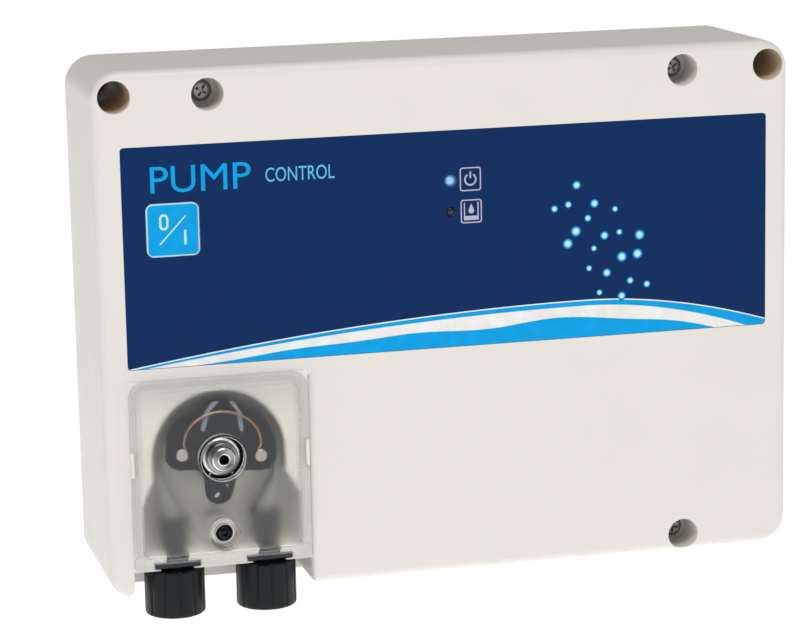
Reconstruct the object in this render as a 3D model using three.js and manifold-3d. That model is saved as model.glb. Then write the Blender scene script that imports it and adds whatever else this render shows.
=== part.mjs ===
// Wall-mounted peristaltic dosing pump.
// Millimetres. +X right, +Y into the wall, +Z up. The origin is the centre of the back face, on the wall.
import * as THREE from 'three';
import { mergeVertices } from 'three/addons/utils/BufferGeometryUtils.js';
import Module from 'manifold-3d';

const wasm = await Module();
wasm.setup();

// Housing
const WIDTH = 234;
const HEIGHT = 172.4;
const DEPTH = 54.3;
const CORNER_R = 9.5;
const EDGE_R = 3;
const WALL = 3;
const FRONT = -DEPTH;
const INNER_FRONT = FRONT + WALL;
const REBATE_DEPTH = 4.2;
const REBATE_INSET = 1.6;
const GAP = 0.3;
const TOUCH = 0.05;

// Fastening of the housing
const HOLE_R = 5.2;
const SLEEVE_R = 7.3;
const WALL_HOLE_X = 109.7;
const WALL_HOLE_Z = 78.1;
const WALL_HOLE_SEAT = -6;
const WALL_SCREW_R = 3.3;
const LID_SCREW_AT = [[-79.7, 77.7], [79.7, 77.7], [79.7, -80.6]];
const LID_SCREW_SINK = 10.5;
const LID_SCREW_HEAD = 2.4;

// Control panel
const LABEL = { x: 0.3, z: 26.1, width: 217.7, height: 71.9, r: 1.2 };
const LABEL_RECESS = 0.5;
const KEY = { x: -92.3, z: 35, size: 17.2, r: 2.2, gap: 0.3, flange: 1.5 };
const LED_AT = { led_power: [-0.4, 45.4], led_level: [-0.3, 35.2] };
const LED_R = 1.5;
const LED_COLLAR_R = 2;
const BOARD = { left: -106, right: 104, bottom: -2, top: 62, front: -44, back: -42.4 };

// Pump head, measured from the axis of its rotor
const HEAD_X = -79.3;
const HEAD_Z = -40.1;
const NOTCH = { half: 29.6, top: 26.5, floor: -32.6, floorWall: 2.4, lipR: 4.5 };
const NOTCH_BOTTOM = -HEIGHT / 2 - HEAD_Z;
const BASE = { half: 29.5, top: 26.4, bottom: -36.8, front: -54.15, back: -32.9 };
const CHAMBER_R = 21.5;
const CHAMBER_FLOOR = -39.5;
const FLARE = { startZ: -6.5, endZ: -14.2, half: 26, bottom: -31.5 };
const PORT_X = 15.3;
const PORT_Y = -47.5;
const TUBE = { arcR: 20, thick: 2.6, width: 7.4, legR: 3.2 };
const CONNECTOR = {
  top: -20.2,
  socketEnd: -25.6,
  body: -29.6,
  flangeTop: -34.3,
  flangeBottom: -36.1,
  threadTop: -37.3,
  threadEnd: -44.2,
  end: -47,
  boreR: 1.7,
  socketR: 3.5,
  stemR: 3.3,
  bodyR: 5,
  flangeR: 7.4,
  threadR: 6.6,
  barbR: 2.9,
  barbNeckR: 2.4,
};
const NUT = { r: 9.88, top: -37.2, bottom: -52.7, flutes: 12, mouthR: 4.7, boreR: 7.1, wall: 5.9 };
const CLAMP_RING = { top: -44.7, bottom: -46.2, r: 6.8, boreR: 4.2 };

// Rotor, turned a little from upright at rest
const ROTOR_TURN = THREE.MathUtils.degToRad(4.6);
const PIN_X = 13;
const PIN_Z = 0.6;
const PIN_RADIUS = 1.5;
const ROLLER_R = 5.1;
const PLATE_FRONT = { front: -55, step: -54.2, back: -53.3 };
const PLATE_BACK = { front: -41.5, back: -40 };
const LOWER_ARM_BACK = -47;
const HUB_R = 6;
const HUB_COLLAR_R = 7.7;
const SHAFT_R = 3;
const SPRING = { half: 12.7, middleZ: 4.5, rise: 10.5, wire: 0.5 };
const GUARD_R = 17.8;
const NOSE_FRONT = -60.4;

// Clear cover of the pump head
const COVER = { left: -29, right: 29.4, top: 25.6, bottom: -36.2, flangeFront: -55.3, lipFront: -56.4 };
const DOME = { left: -28.3, right: 27.5, top: 25.3, bottom: -33.3, front: -59.3, r: 5, wall: 1.5 };
const COVER_HOLE_R = 7.2;
const COVER_RECESS_R = 3.5;
const COVER_SCREW_Z = -25.2;
const COVER_SCREW_SINK = 1.6;
const COVER_SCREW_HEAD = 2.1;

// Gear motor
const MODULE = 1.25;
const OUTPUT_TEETH = 32;
const IDLER_PINION_TEETH = 10;
const IDLER_TEETH = 28;
const MOTOR_TEETH = 9;
const IDLER_ANGLE = THREE.MathUtils.degToRad(55);
const MOTOR_ANGLE = THREE.MathUtils.degToRad(215);
const GEARBOX = { front: -29.9, lid: 1.4, back: -18, wall: 1.4, outputR: 22.8, idlerR: 20 };
const FRONT_GEARS = { front: -27.9, back: -24.3 };
const REAR_GEARS = { front: -23.7, back: -20.2 };
const AXLE_R = 1.5;
const CAN = { front: -17.7, back: -4.8, r: 24.5, wall: 1 };

const finishes = {
  cream: { color: 0xe4e1da, roughness: 0.5, metalness: 0 },
  navy: { color: 0x142d5a, roughness: 0.45, metalness: 0 },
  cyan: { color: 0x00a0e2, roughness: 0.4, metalness: 0 },
  clear: { color: 0xdfe3e2, roughness: 0.2, metalness: 0, transparent: true, opacity: 0.35 },
  slate: { color: 0x424a54, roughness: 0.5, metalness: 0 },
  black: { color: 0x26292b, roughness: 0.45, metalness: 0 },
  rubber: { color: 0x4a4b48, roughness: 0.8, metalness: 0 },
  acetal: { color: 0xe9e9e4, roughness: 0.4, metalness: 0 },
  steel: { color: 0x9c9ea0, roughness: 0.3, metalness: 1 },
  brass: { color: 0xb08a55, roughness: 0.35, metalness: 1 },
  copper: { color: 0xb4683c, roughness: 0.4, metalness: 1 },
  board: { color: 0x1f6b3a, roughness: 0.55, metalness: 0 },
  glow: { color: 0xdcefff, roughness: 0.2, metalness: 0 },
  smoke: { color: 0x1b1e24, roughness: 0.2, metalness: 0 },
};

// A closed solid from a three.js geometry, with its shared corners merged.
function solid(geometry) {
  const bare = geometry.clone();
  bare.deleteAttribute('normal');
  bare.deleteAttribute('uv');
  const merged = mergeVertices(bare, 1e-4);
  const corners = [];
  for (let i = 0; i < merged.index.count; i += 3) {
    const [a, b, c] = [0, 1, 2].map((k) => merged.index.getX(i + k));
    if (a !== b && b !== c && a !== c) corners.push(a, b, c);
  }
  const vertProperties = new Float32Array(merged.attributes.position.array);
  const triVerts = new Uint32Array(corners);
  return new wasm.Manifold(new wasm.Mesh({ numProp: 3, vertProperties, triVerts }));
}

function join(first, ...others) {
  return others.reduce((all, next) => all.add(next), first);
}

function cut(first, ...others) {
  return others.reduce((left, next) => left.subtract(next), first);
}

// A flat outline in X and Z, extruded along Y from back to front.
function extrude(shape, back, front, options = {}) {
  const geometry = new THREE.ExtrudeGeometry(shape, {
    depth: back - front,
    bevelEnabled: false,
    curveSegments: 4,
    ...options,
  });
  return solid(geometry.rotateX(Math.PI / 2).translate(0, back, 0));
}

function roundedRect(left, bottom, right, top, r) {
  const shape = new THREE.Shape();
  shape.absarc(right - r, top - r, r, 0, Math.PI / 2);
  shape.absarc(left + r, top - r, r, Math.PI / 2, Math.PI);
  shape.absarc(left + r, bottom + r, r, Math.PI, 1.5 * Math.PI);
  shape.absarc(right - r, bottom + r, r, 1.5 * Math.PI, 2 * Math.PI);
  return shape;
}

function box(left, right, back, front, bottom, top) {
  const geometry = new THREE.BoxGeometry(right - left, back - front, top - bottom);
  return solid(geometry.translate((left + right) / 2, (back + front) / 2, (bottom + top) / 2));
}

// A cylinder with its axis along Y.
function rod(x, z, r, back, front, segments = 16) {
  const geometry = new THREE.CylinderGeometry(r, r, back - front, segments);
  return solid(geometry.translate(x, (back + front) / 2, z));
}

// A profile of [radius, height] corners, turned about the Y axis. A profile off the axis closes on itself.
function turnY(profile, segments = 16) {
  const points = profile.map(([r, y]) => new THREE.Vector2(r, y));
  if (profile[0][0] > 0) points.push(points[0].clone());
  return solid(new THREE.LatheGeometry(points, segments));
}

// The same profile turned about the Z axis, with the heights along Z.
function turnZ(profile, segments = 16) {
  return turnY(profile, segments).rotate([90, 0, 0]);
}

// A toothed wheel about the Y axis, its first tooth pointing at the angle given.
function gear(teeth, angle, back, front, boreR) {
  const pitchR = (MODULE * teeth) / 2;
  const levels = [[pitchR - 1.1 * MODULE, 0.85], [pitchR + 0.8 * MODULE, 0.32]];
  const outline = new THREE.Shape();
  for (let tooth = 0; tooth < teeth; tooth++) {
    const middle = angle + (2 * Math.PI * tooth) / teeth;
    const half = levels.map(([r, width]) => (width * MODULE) / r);
    const corners = [
      [levels[0][0], middle - half[0]],
      [levels[1][0], middle - half[1]],
      [levels[1][0], middle + half[1]],
      [levels[0][0], middle + half[0]],
    ];
    for (const [r, at] of corners) {
      const point = [r * Math.cos(at), r * Math.sin(at)];
      if (tooth === 0 && at < middle && r === levels[0][0]) outline.moveTo(...point);
      else outline.lineTo(...point);
    }
  }
  const wheel = extrude(outline, back, front);
  return boreR ? cut(wheel, rod(0, 0, boreR, 0, FRONT)) : wheel;
}

const pump = new THREE.Group();

function group(parent, x, z) {
  const inner = new THREE.Group();
  inner.position.set(x, 0, z);
  parent.add(inner);
  return inner;
}

function add(parent, name, body, finish, position = [0, 0, 0]) {
  const { vertProperties, triVerts } = body.getMesh();
  const geometry = new THREE.BufferGeometry();
  geometry.setAttribute('position', new THREE.BufferAttribute(vertProperties, 3));
  geometry.setIndex(new THREE.BufferAttribute(triVerts, 1));
  geometry.computeVertexNormals();
  const mesh = new THREE.Mesh(geometry, new THREE.MeshStandardMaterial(finishes[finish]));
  mesh.name = name;
  mesh.position.set(...position);
  parent.add(mesh);
}

// ---------------------------------------------------------------- front housing

const outerOutline = (inset, r) => roundedRect(
  -WIDTH / 2 + inset, -HEIGHT / 2 + inset, WIDTH / 2 - inset, HEIGHT / 2 - inset, r,
);

function housingBlock() {
  const rounded = extrude(outerOutline(0, CORNER_R), EDGE_R * 3, FRONT + EDGE_R, {
    bevelEnabled: true,
    bevelThickness: EDGE_R,
    bevelSize: EDGE_R,
    bevelOffset: -EDGE_R,
    bevelSegments: 2,
  });
  return rounded.intersect(box(-WIDTH, WIDTH, 0, FRONT - 1, -HEIGHT, HEIGHT));
}

// The outline of the notch for the pump head, flared at its mouth where the housing's ends are rounded.
function notchOutline() {
  const { half, top, lipR } = NOTCH;
  const below = NOTCH_BOTTOM - 5;
  const shape = new THREE.Shape();
  shape.moveTo(HEAD_X - half, HEAD_Z + top);
  shape.lineTo(HEAD_X - half, HEAD_Z + NOTCH_BOTTOM + lipR);
  shape.absarc(HEAD_X - half - lipR, HEAD_Z + NOTCH_BOTTOM + lipR, lipR, 0, -Math.PI / 2, true);
  shape.lineTo(HEAD_X - half - lipR, HEAD_Z + below);
  const smallR = lipR * 0.55;
  shape.lineTo(HEAD_X + half + smallR, HEAD_Z + below);
  shape.absarc(HEAD_X + half + smallR, HEAD_Z + NOTCH_BOTTOM + smallR, smallR, -Math.PI / 2, -Math.PI, true);
  shape.lineTo(HEAD_X + half, HEAD_Z + top);
  return shape;
}

// The square opening that the key moves in.
function keyHole() {
  const half = KEY.size / 2 + KEY.gap;
  const outline = roundedRect(KEY.x - half, KEY.z - half, KEY.x + half, KEY.z + half, KEY.r);
  return extrude(outline, 0, FRONT - 1, { curveSegments: 3 });
}

const BOARD_POSTS = [[-104, 14], [-60, 58], [30, 2], [100, 58]];
const GROMMET_AT = [[40, -26], [66, -26]];
const GROMMET_R = 6.4;
const BASE_SCREW_AT = [[-22, 22], [22, -24]];
const LID_SEAT = FRONT + LID_SCREW_SINK + LID_SCREW_HEAD;
const LID_POST_R = 4.4;

function frontHousing() {
  const block = housingBlock();
  const notchBack = NOTCH.floor + NOTCH.floorWall;
  const notchRight = HEAD_X + NOTCH.half + WALL;
  const notchWalls = box(-WIDTH / 2, notchRight, notchBack, FRONT, -HEIGHT / 2, HEAD_Z + NOTCH.top + WALL);
  const sleeves = [-WALL_HOLE_X, WALL_HOLE_X].map((x) => rod(x, WALL_HOLE_Z, SLEEVE_R, -REBATE_DEPTH, FRONT));
  const screwTowers = LID_SCREW_AT.map(([x, z]) => rod(x, z, SLEEVE_R, LID_SEAT + WALL, FRONT));
  const posts = BOARD_POSTS.map(([x, z]) => rod(x, z, 3.4, BOARD.front - TOUCH, INNER_FRONT - 1, 8));
  let body = cut(block, extrude(outerOutline(WALL, CORNER_R - WALL), 1, INNER_FRONT));
  body = join(body, notchWalls, ...sleeves, ...screwTowers, ...posts).intersect(block);
  body = cut(body, extrude(outerOutline(REBATE_INSET, CORNER_R - REBATE_INSET), 1, -REBATE_DEPTH));
  body = cut(body, extrude(notchOutline(), NOTCH.floor, FRONT - 5));
  for (const x of [-WALL_HOLE_X, WALL_HOLE_X]) {
    body = cut(body, rod(x, WALL_HOLE_Z, HOLE_R, WALL_HOLE_SEAT, FRONT - 1, 16));
    body = cut(body, rod(x, WALL_HOLE_Z, WALL_SCREW_R, 1, FRONT, 16));
  }
  for (const [x, z] of LID_SCREW_AT) {
    body = cut(body, rod(x, z, HOLE_R, LID_SEAT, FRONT - 1, 16), rod(x, z, 2.3, 1, FRONT, 8));
    body = cut(body, rod(x, z, LID_POST_R + GAP, 1, LID_SEAT + WALL, 16));
  }
  const { x, z, width, height, r } = LABEL;
  const recess = roundedRect(x - width / 2, z - height / 2, x + width / 2, z + height / 2, r);
  body = cut(body, extrude(recess, FRONT + LABEL_RECESS, FRONT - 1, { curveSegments: 2 }), keyHole());
  for (const [ledX, ledZ] of Object.values(LED_AT)) {
    body = cut(body, rod(ledX, ledZ, LED_R + 0.25, 0, FRONT - 1, 12));
  }
  for (const [postX, postZ] of BOARD_POSTS) body = cut(body, rod(postX, postZ, 1.6, 0, INNER_FRONT + 0.5, 6));
  body = cut(body, rod(HEAD_X, HEAD_Z, 5.6, 0, NOTCH.floor - 1));
  for (const [dx, dz] of BASE_SCREW_AT) {
    body = cut(body, rod(HEAD_X + dx, HEAD_Z + dz, 2, 0, NOTCH.floor - 1, 12));
  }
  for (const [holeX, y] of GROMMET_AT) {
    const bore = turnZ([[0, 0], [GROMMET_R, 0], [GROMMET_R, 20], [0, 20]]);
    body = cut(body, bore.translate([holeX, y, -HEIGHT / 2 - 10]));
  }
  return body;
}

add(pump, 'front_housing', frontHousing(), 'cream');

// ---------------------------------------------------------------- back plate, gasket and lid screws

const PLATE_T = 3;
const PILOT_R = 1.9;

function backPlate() {
  const inset = REBATE_INSET + GAP;
  const plate = extrude(outerOutline(inset, CORNER_R - inset), 0, -PLATE_T);
  const posts = LID_SCREW_AT.map(([x, z]) => rod(x, z, LID_POST_R, -1, LID_SEAT + WALL + 0.2, 16));
  const pilots = LID_SCREW_AT.map(([x, z]) => rod(x, z, PILOT_R, -20, FRONT, 12));
  const wallHoles = [-WALL_HOLE_X, WALL_HOLE_X].map((x) => rod(x, WALL_HOLE_Z, WALL_SCREW_R, 1, -9, 16));
  return cut(join(plate, ...posts), ...pilots, ...wallHoles);
}

function housingGasket() {
  const outer = extrude(outerOutline(REBATE_INSET + GAP, CORNER_R - REBATE_INSET - GAP), -3.1, -4.1);
  const ring = cut(outer, extrude(outerOutline(WALL - 0.1, CORNER_R - WALL + 0.1), 0, -5));
  return cut(ring, ...LID_SCREW_AT.map(([x, z]) => rod(x, z, LID_POST_R + GAP, 0, -5)));
}

// A pan-head screw about the Y axis: the top of its head at y 0, its shank towards +Y.
function screw(headR, headHeight, shankR, length, segments = 12) {
  return turnY([
    [0, 0],
    [headR * 0.75, 0],
    [headR, headHeight * 0.45],
    [headR, headHeight],
    [shankR, headHeight],
    [shankR, length],
    [0, length],
  ], segments);
}

add(pump, 'back_plate', backPlate(), 'cream');
add(pump, 'housing_gasket', housingGasket(), 'rubber');
LID_SCREW_AT.forEach(([x, z], i) => {
  const body = screw(3.6, LID_SCREW_HEAD, 1.75, 18);
  add(pump, `lid_screw_${i + 1}`, body, 'steel', [x, FRONT + LID_SCREW_SINK - TOUCH, z]);
});

// ---------------------------------------------------------------- control panel

function frontLabel() {
  const { x, z, width, height, r } = LABEL;
  const [w, h] = [width / 2 - 0.1, height / 2 - 0.1];
  const outline = roundedRect(x - w, z - h, x + w, z + h, r);
  const sheet = extrude(outline, FRONT + LABEL_RECESS - TOUCH, FRONT + TOUCH, { curveSegments: 2 });
  const ledHoleR = LED_R + 0.15;
  const ledHoles = Object.values(LED_AT).map(([ledX, ledZ]) => rod(ledX, ledZ, ledHoleR, 0, FRONT - 1, 12));
  return cut(sheet, keyHole(), ...ledHoles);
}

// The key's cap stands in its opening, its flange is behind the wall and its stem faces the switch.
function keyButton() {
  const half = KEY.size / 2;
  const outer = half + KEY.flange;
  const cap = extrude(roundedRect(-half, -half, half, half, KEY.r), INNER_FRONT + 0.8, FRONT - 0.15, {
    curveSegments: 3,
  });
  const flange = box(-outer, outer, INNER_FRONT + 1.5, INNER_FRONT + KEY.gap, -outer, outer);
  return join(cap, flange, rod(0, 0, 2.2, INNER_FRONT + 2.5, INNER_FRONT + 1, 12));
}

function tactSwitch() {
  const body = box(-3, 3, BOARD.front - TOUCH, BOARD.front - 3.4, -3, 3);
  return join(body, rod(0, 0, 1.7, BOARD.front - 3, BOARD.front - 4.1, 10));
}

function led() {
  return turnY([
    [0, FRONT + 0.3],
    [LED_R * 0.75, FRONT + 0.55],
    [LED_R, FRONT + 1.4],
    [LED_R, BOARD.front - 1.4],
    [LED_COLLAR_R, BOARD.front - 1.4],
    [LED_COLLAR_R, BOARD.front - 0.2],
    [0, BOARD.front - 0.2],
  ], 12);
}

function controlBoard() {
  let board = box(BOARD.left, BOARD.right, BOARD.back, BOARD.front, BOARD.bottom, BOARD.top);
  for (const [x, z] of BOARD_POSTS) board = cut(board, rod(x, z, 1.7, 0, FRONT, 10));
  return board;
}

add(pump, 'front_label', frontLabel(), 'navy');
add(pump, 'key_button', keyButton(), 'cyan', [KEY.x, 0, KEY.z]);
add(pump, 'tact_switch', tactSwitch(), 'black', [KEY.x, 0, KEY.z]);
for (const [name, [x, z]] of Object.entries(LED_AT)) {
  add(pump, name, led(), name === 'led_power' ? 'glow' : 'smoke', [x, 0, z]);
}
add(pump, 'control_board', controlBoard(), 'board');
BOARD_POSTS.forEach(([x, z], i) => {
  const body = screw(2.8, 1.8, 1.25, 7.5, 10).rotate([180, 0, 0]);
  add(pump, `board_screw_${i + 1}`, body, 'steel', [x, BOARD.back + 1.8 + TOUCH, z]);
});

// Parts soldered to the rear of the board
const REAR = BOARD.back + TOUCH;

function transformer() {
  const core = box(-20, 20, REAR + 26, REAR + 4, -17, 17);
  return join(core, box(-17, 17, REAR + 6, REAR, -21, 21), box(-13, 13, REAR + 31, REAR + 24, -21, 21));
}

function terminalBlock(ways) {
  const pitch = 5;
  const width = ways * pitch;
  let body = box(-width / 2, width / 2, REAR + 11, REAR, -5, 5);
  for (let i = 0; i < ways; i++) {
    const x = -width / 2 + pitch * (i + 0.5);
    const wireEntry = box(x - 1.7, x + 1.7, REAR + 6, REAR + 2, -6, -1.5);
    body = cut(body, wireEntry, rod(x, 1, 1.5, REAR + 12, REAR + 7, 8));
  }
  return body;
}

function fuseHolder() {
  const tray = box(-12, 12, REAR + 5, REAR, -4, 4);
  const groove = solid(new THREE.CylinderGeometry(2.9, 2.9, 30, 12).rotateZ(Math.PI / 2));
  return cut(tray, groove.translate([0, REAR + 4.4, 0]));
}

function fuse() {
  const cartridge = solid(new THREE.CylinderGeometry(2.5, 2.5, 20, 10).rotateZ(Math.PI / 2));
  return cartridge.translate([0, REAR + 4.5, 0]);
}

add(pump, 'transformer', transformer(), 'black', [66, 0, 34]);
add(pump, 'mains_terminal', terminalBlock(5), 'acetal', [74, 0, 4]);
add(pump, 'sensor_terminal', terminalBlock(3), 'acetal', [46, 0, 4]);
add(pump, 'fuse_holder', fuseHolder(), 'black', [4, 0, 14]);
add(pump, 'fuse', fuse(), 'steel', [4, 0, 14]);
add(pump, 'motor_relay', box(-10, 10, REAR + 15, REAR, -7.5, 7.5), 'black', [10, 0, 36]);
add(pump, 'smoothing_capacitor', rod(0, 0, 6.3, REAR + 20, REAR, 14), 'black', [-18, 0, 44]);
add(pump, 'controller_chip', box(-9, 9, REAR + 3.2, REAR, -4, 4), 'black', [-48, 0, 36]);

function grommet() {
  const wallIn = -HEIGHT / 2 + WALL;
  const wallOut = -HEIGHT / 2;
  const lipR = GROMMET_R + 1.8;
  return turnZ([
    [0, wallOut - 1.2],
    [5, wallOut - 2.4],
    [lipR, wallOut - 2.4],
    [lipR, wallOut - TOUCH],
    [GROMMET_R - GAP, wallOut - TOUCH],
    [GROMMET_R - GAP, wallIn + TOUCH],
    [lipR, wallIn + TOUCH],
    [lipR - 0.8, wallIn + 2],
    [0, wallIn + 2],
  ], 18);
}

GROMMET_AT.forEach(([x, y], i) => add(pump, `cable_grommet_${i + 1}`, grommet(), 'rubber', [x, y, 0]));

// ---------------------------------------------------------------- pump head, fixed parts

const head = group(pump, HEAD_X, HEAD_Z);
const PORTS = { left: -PORT_X, right: PORT_X };

// The chamber is round over the top and widens below into the space for the tube's two legs.
function chamberOutline() {
  const { startZ, endZ, half, bottom } = FLARE;
  const shape = new THREE.Shape();
  shape.moveTo(half, bottom);
  shape.lineTo(half, endZ);
  shape.lineTo(CHAMBER_R, startZ);
  shape.absarc(0, 0, CHAMBER_R, 0, Math.PI, false);
  shape.lineTo(-CHAMBER_R, startZ);
  shape.lineTo(-half, endZ);
  shape.lineTo(-half, bottom);
  return shape;
}

const SHAFT_BUSH = { r: 5, back: NOTCH.floor - 0.2, front: CHAMBER_FLOOR - 0.2 };

function pumpBase() {
  const { half, top, bottom, front, back } = BASE;
  let body = extrude(roundedRect(-half, bottom, half, top, 0.5), back, front, { curveSegments: 2 });
  body = cut(body, extrude(chamberOutline(), CHAMBER_FLOOR, front - 1, { curveSegments: 20 }));
  for (const x of Object.values(PORTS)) {
    const { flangeTop, flangeBottom } = CONNECTOR;
    const slot = (r, low, high) => box(x - r, x + r, PORT_Y + r, front - 1, low, high);
    body = cut(body, slot(CONNECTOR.stemR + 0.4, flangeTop, FLARE.bottom + 1));
    body = cut(body, slot(CONNECTOR.flangeR + GAP, flangeBottom - 0.2, flangeTop + 0.2));
    body = cut(body, slot(CONNECTOR.bodyR + 0.5, bottom - 1, flangeBottom));
  }
  body = join(body, rod(0, COVER_SCREW_Z, 4.2, CHAMBER_FLOOR + 0.5, front + 0.5));
  const screwBore = rod(0, COVER_SCREW_Z, 1.7, CHAMBER_FLOOR, front - 1, 10);
  body = cut(body, screwBore, rod(0, 0, SHAFT_BUSH.r + 0.1, 0, front - 1, 20));
  for (const [x, z] of BASE_SCREW_AT) body = cut(body, rod(x, z, 1.6, 0, CHAMBER_FLOOR + 0.3, 10));
  for (const side of [-1, 1]) {
    const tabX = side * (half - 0.7);
    body = join(body, box(tabX - 0.6, tabX + 0.6, front + 1, front - 1.4, -5.1, 3.3));
  }
  return body;
}

// One side's leg, from the round wall down into its connector.
const LEG_AT = [
  [19.78, -2.6],
  [19.45, -4.8],
  [18.8, -9.5],
  [17.4, -14],
  [15.9, -18],
  [PORT_X, -21.5],
  [PORT_X, -25.2],
];

function sweep(section, points, steps, curveSegments) {
  const extrudePath = new THREE.CatmullRomCurve3(points.map(([x, z]) => new THREE.Vector3(x, PORT_Y, z)));
  return solid(new THREE.ExtrudeGeometry(section, { steps, extrudePath, curveSegments }));
}

// The tube lies squeezed flat along the round wall and runs down in two round legs.
function pumpTube() {
  const arc = [];
  const arcSteps = 18;
  for (let i = 0; i <= arcSteps; i++) {
    const angle = (Math.PI * i) / arcSteps;
    arc.push([TUBE.arcR * Math.cos(angle), TUBE.arcR * Math.sin(angle)]);
  }
  const upper = LEG_AT.slice(0, 4);
  const mirrored = ([x, z]) => [-x, z];
  const track = [...upper.slice().reverse(), ...arc, ...upper.map(mirrored)];
  const [halfWidth, halfThick] = [TUBE.width / 2, TUBE.thick / 2];
  const flat = roundedRect(-halfWidth, -halfThick, halfWidth, halfThick, halfThick - 0.1);
  const circle = new THREE.Shape().absarc(0, 0, TUBE.legR, 0, 2 * Math.PI);
  const lower = LEG_AT.slice(2);
  const legs = [lower, lower.map(mirrored)].map((points) => sweep(circle, points, 6, 5));
  return join(sweep(flat, track, 28, 1), ...legs);
}

// A connector: a socket for the tube's end, a flange held in the base, a thread and a barb for the hose.
function connector() {
  const c = CONNECTOR;
  return turnZ([
    [c.boreR, c.end],
    [c.barbR - 0.6, c.end],
    [c.barbR, c.end + 1.6],
    [c.barbNeckR, c.end + 1.8],
    [c.barbNeckR, c.threadEnd],
    [c.threadR, c.threadEnd],
    [c.threadR, c.threadTop],
    [c.bodyR, c.threadTop],
    [c.bodyR, c.flangeBottom],
    [c.flangeR, c.flangeBottom],
    [c.flangeR, c.flangeTop],
    [c.stemR, c.flangeTop],
    [c.stemR, c.body],
    [c.bodyR, c.body + 0.8],
    [c.bodyR, c.top],
    [c.socketR, c.top],
    [c.socketR, c.socketEnd],
    [c.boreR, c.socketEnd],
  ], 12);
}

add(head, 'pump_base', pumpBase(), 'cream');
add(head, 'pump_tube', pumpTube(), 'rubber');
for (const [side, x] of Object.entries(PORTS)) {
  add(head, `connector_${side}`, connector(), 'slate', [x, PORT_Y, 0]);
}
const bushBody = rod(0, 0, SHAFT_BUSH.r, SHAFT_BUSH.back, SHAFT_BUSH.front);
const bush = cut(bushBody, rod(0, 0, SHAFT_R + 0.15, 0, FRONT));
add(head, 'shaft_bush', bush, 'brass');
BASE_SCREW_AT.forEach(([x, z], i) => {
  const body = screw(3, 2, 1.5, 10, 12).rotate([180, 0, 0]);
  add(head, `base_screw_${i + 1}`, body, 'steel', [x, NOTCH.floor + NOTCH.floorWall + 2 + TOUCH, z]);
});

// ---------------------------------------------------------------- rotor

// A plate that carries the rollers: a lobe at each pin and a guide arm above.
function rotorOutline() {
  const degrees = THREE.MathUtils.degToRad;
  const shape = new THREE.Shape();
  shape.moveTo(6.2, 14.5);
  shape.lineTo(4.1, 17.4);
  shape.lineTo(1, 19);
  shape.lineTo(-1, 19);
  shape.lineTo(-4.1, 17.4);
  shape.lineTo(-6.2, 14.5);
  shape.lineTo(-7.2, 8.6);
  shape.lineTo(-10, 9);
  shape.absarc(-PIN_X + 0.4, 3.4, 5.6, degrees(100), degrees(190), false);
  shape.absarc(-PIN_X, PIN_Z, 5.3, degrees(190), degrees(280), false);
  shape.lineTo(-5.4, -5);
  shape.lineTo(5.4, -5);
  shape.absarc(PIN_X, PIN_Z, 5.3, degrees(-100), degrees(-10), false);
  shape.absarc(PIN_X - 0.4, 3.4, 5.6, degrees(-10), degrees(80), false);
  shape.lineTo(10, 9);
  shape.lineTo(7.2, 8.6);
  return shape;
}

// The lower guide arm, which is deeper than the front plate.
function lowerArmOutline() {
  const shape = new THREE.Shape();
  shape.moveTo(-5.4, -4.5);
  shape.lineTo(-4.6, -11);
  shape.absarc(0, -11.6, 4.2, Math.PI, 2 * Math.PI, false);
  shape.lineTo(4.6, -11);
  shape.lineTo(5.4, -4.5);
  return shape;
}

// The half disc behind the lobes, over the hub, that keeps the tube in its track.
function guardOutline() {
  const shape = new THREE.Shape();
  shape.moveTo(GUARD_R, 0);
  shape.absarc(0, 0, GUARD_R, 0, Math.PI, false);
  shape.lineTo(-GUARD_R, -2);
  shape.lineTo(GUARD_R, -2);
  return shape;
}

function rollerHolder() {
  const plates = [PLATE_FRONT, PLATE_BACK].map(({ front, back }) => extrude(rotorOutline(), back, front));
  const guard = extrude(guardOutline(), PLATE_FRONT.back, PLATE_FRONT.step, { curveSegments: 20 });
  const arm = extrude(lowerArmOutline(), LOWER_ARM_BACK, PLATE_FRONT.front);
  const hub = rod(0, 0, HUB_R, PLATE_BACK.back, PLATE_FRONT.front);
  const collar = rod(0, 0, HUB_COLLAR_R, PLATE_FRONT.back, PLATE_FRONT.step, 20);
  const body = join(...plates, guard, arm, hub, collar);
  const pinHoles = [-PIN_X, PIN_X].map((x) => rod(x, PIN_Z, PIN_RADIUS + 0.1, 0, FRONT - 5, 12));
  return cut(body, rod(0, 0, SHAFT_R + 0.15, 0, FRONT - 5), ...pinHoles);
}

// The stepped nose that stands in the middle of the rotor, round the end of the shaft.
function hubNose() {
  const back = PLATE_FRONT.front - TOUCH;
  return turnY([
    [0, NOSE_FRONT + 2.5],
    [1.6, NOSE_FRONT + 2.5],
    [1.6, NOSE_FRONT],
    [2, NOSE_FRONT],
    [3.8, NOSE_FRONT + 0.5],
    [3.8, NOSE_FRONT + 1.4],
    [5.2, NOSE_FRONT + 2],
    [5.2, NOSE_FRONT + 4.5],
    [6.2, NOSE_FRONT + 4.6],
    [6.2, back],
    [0, back],
  ], 18);
}

function rollerPin() {
  const headFront = PLATE_FRONT.front - 1.3;
  return turnY([
    [0, headFront],
    [2, headFront + 0.2],
    [2, PLATE_FRONT.front - TOUCH],
    [PIN_RADIUS, PLATE_FRONT.front - TOUCH],
    [PIN_RADIUS, PLATE_BACK.back],
    [0, PLATE_BACK.back],
  ], 12);
}

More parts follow.
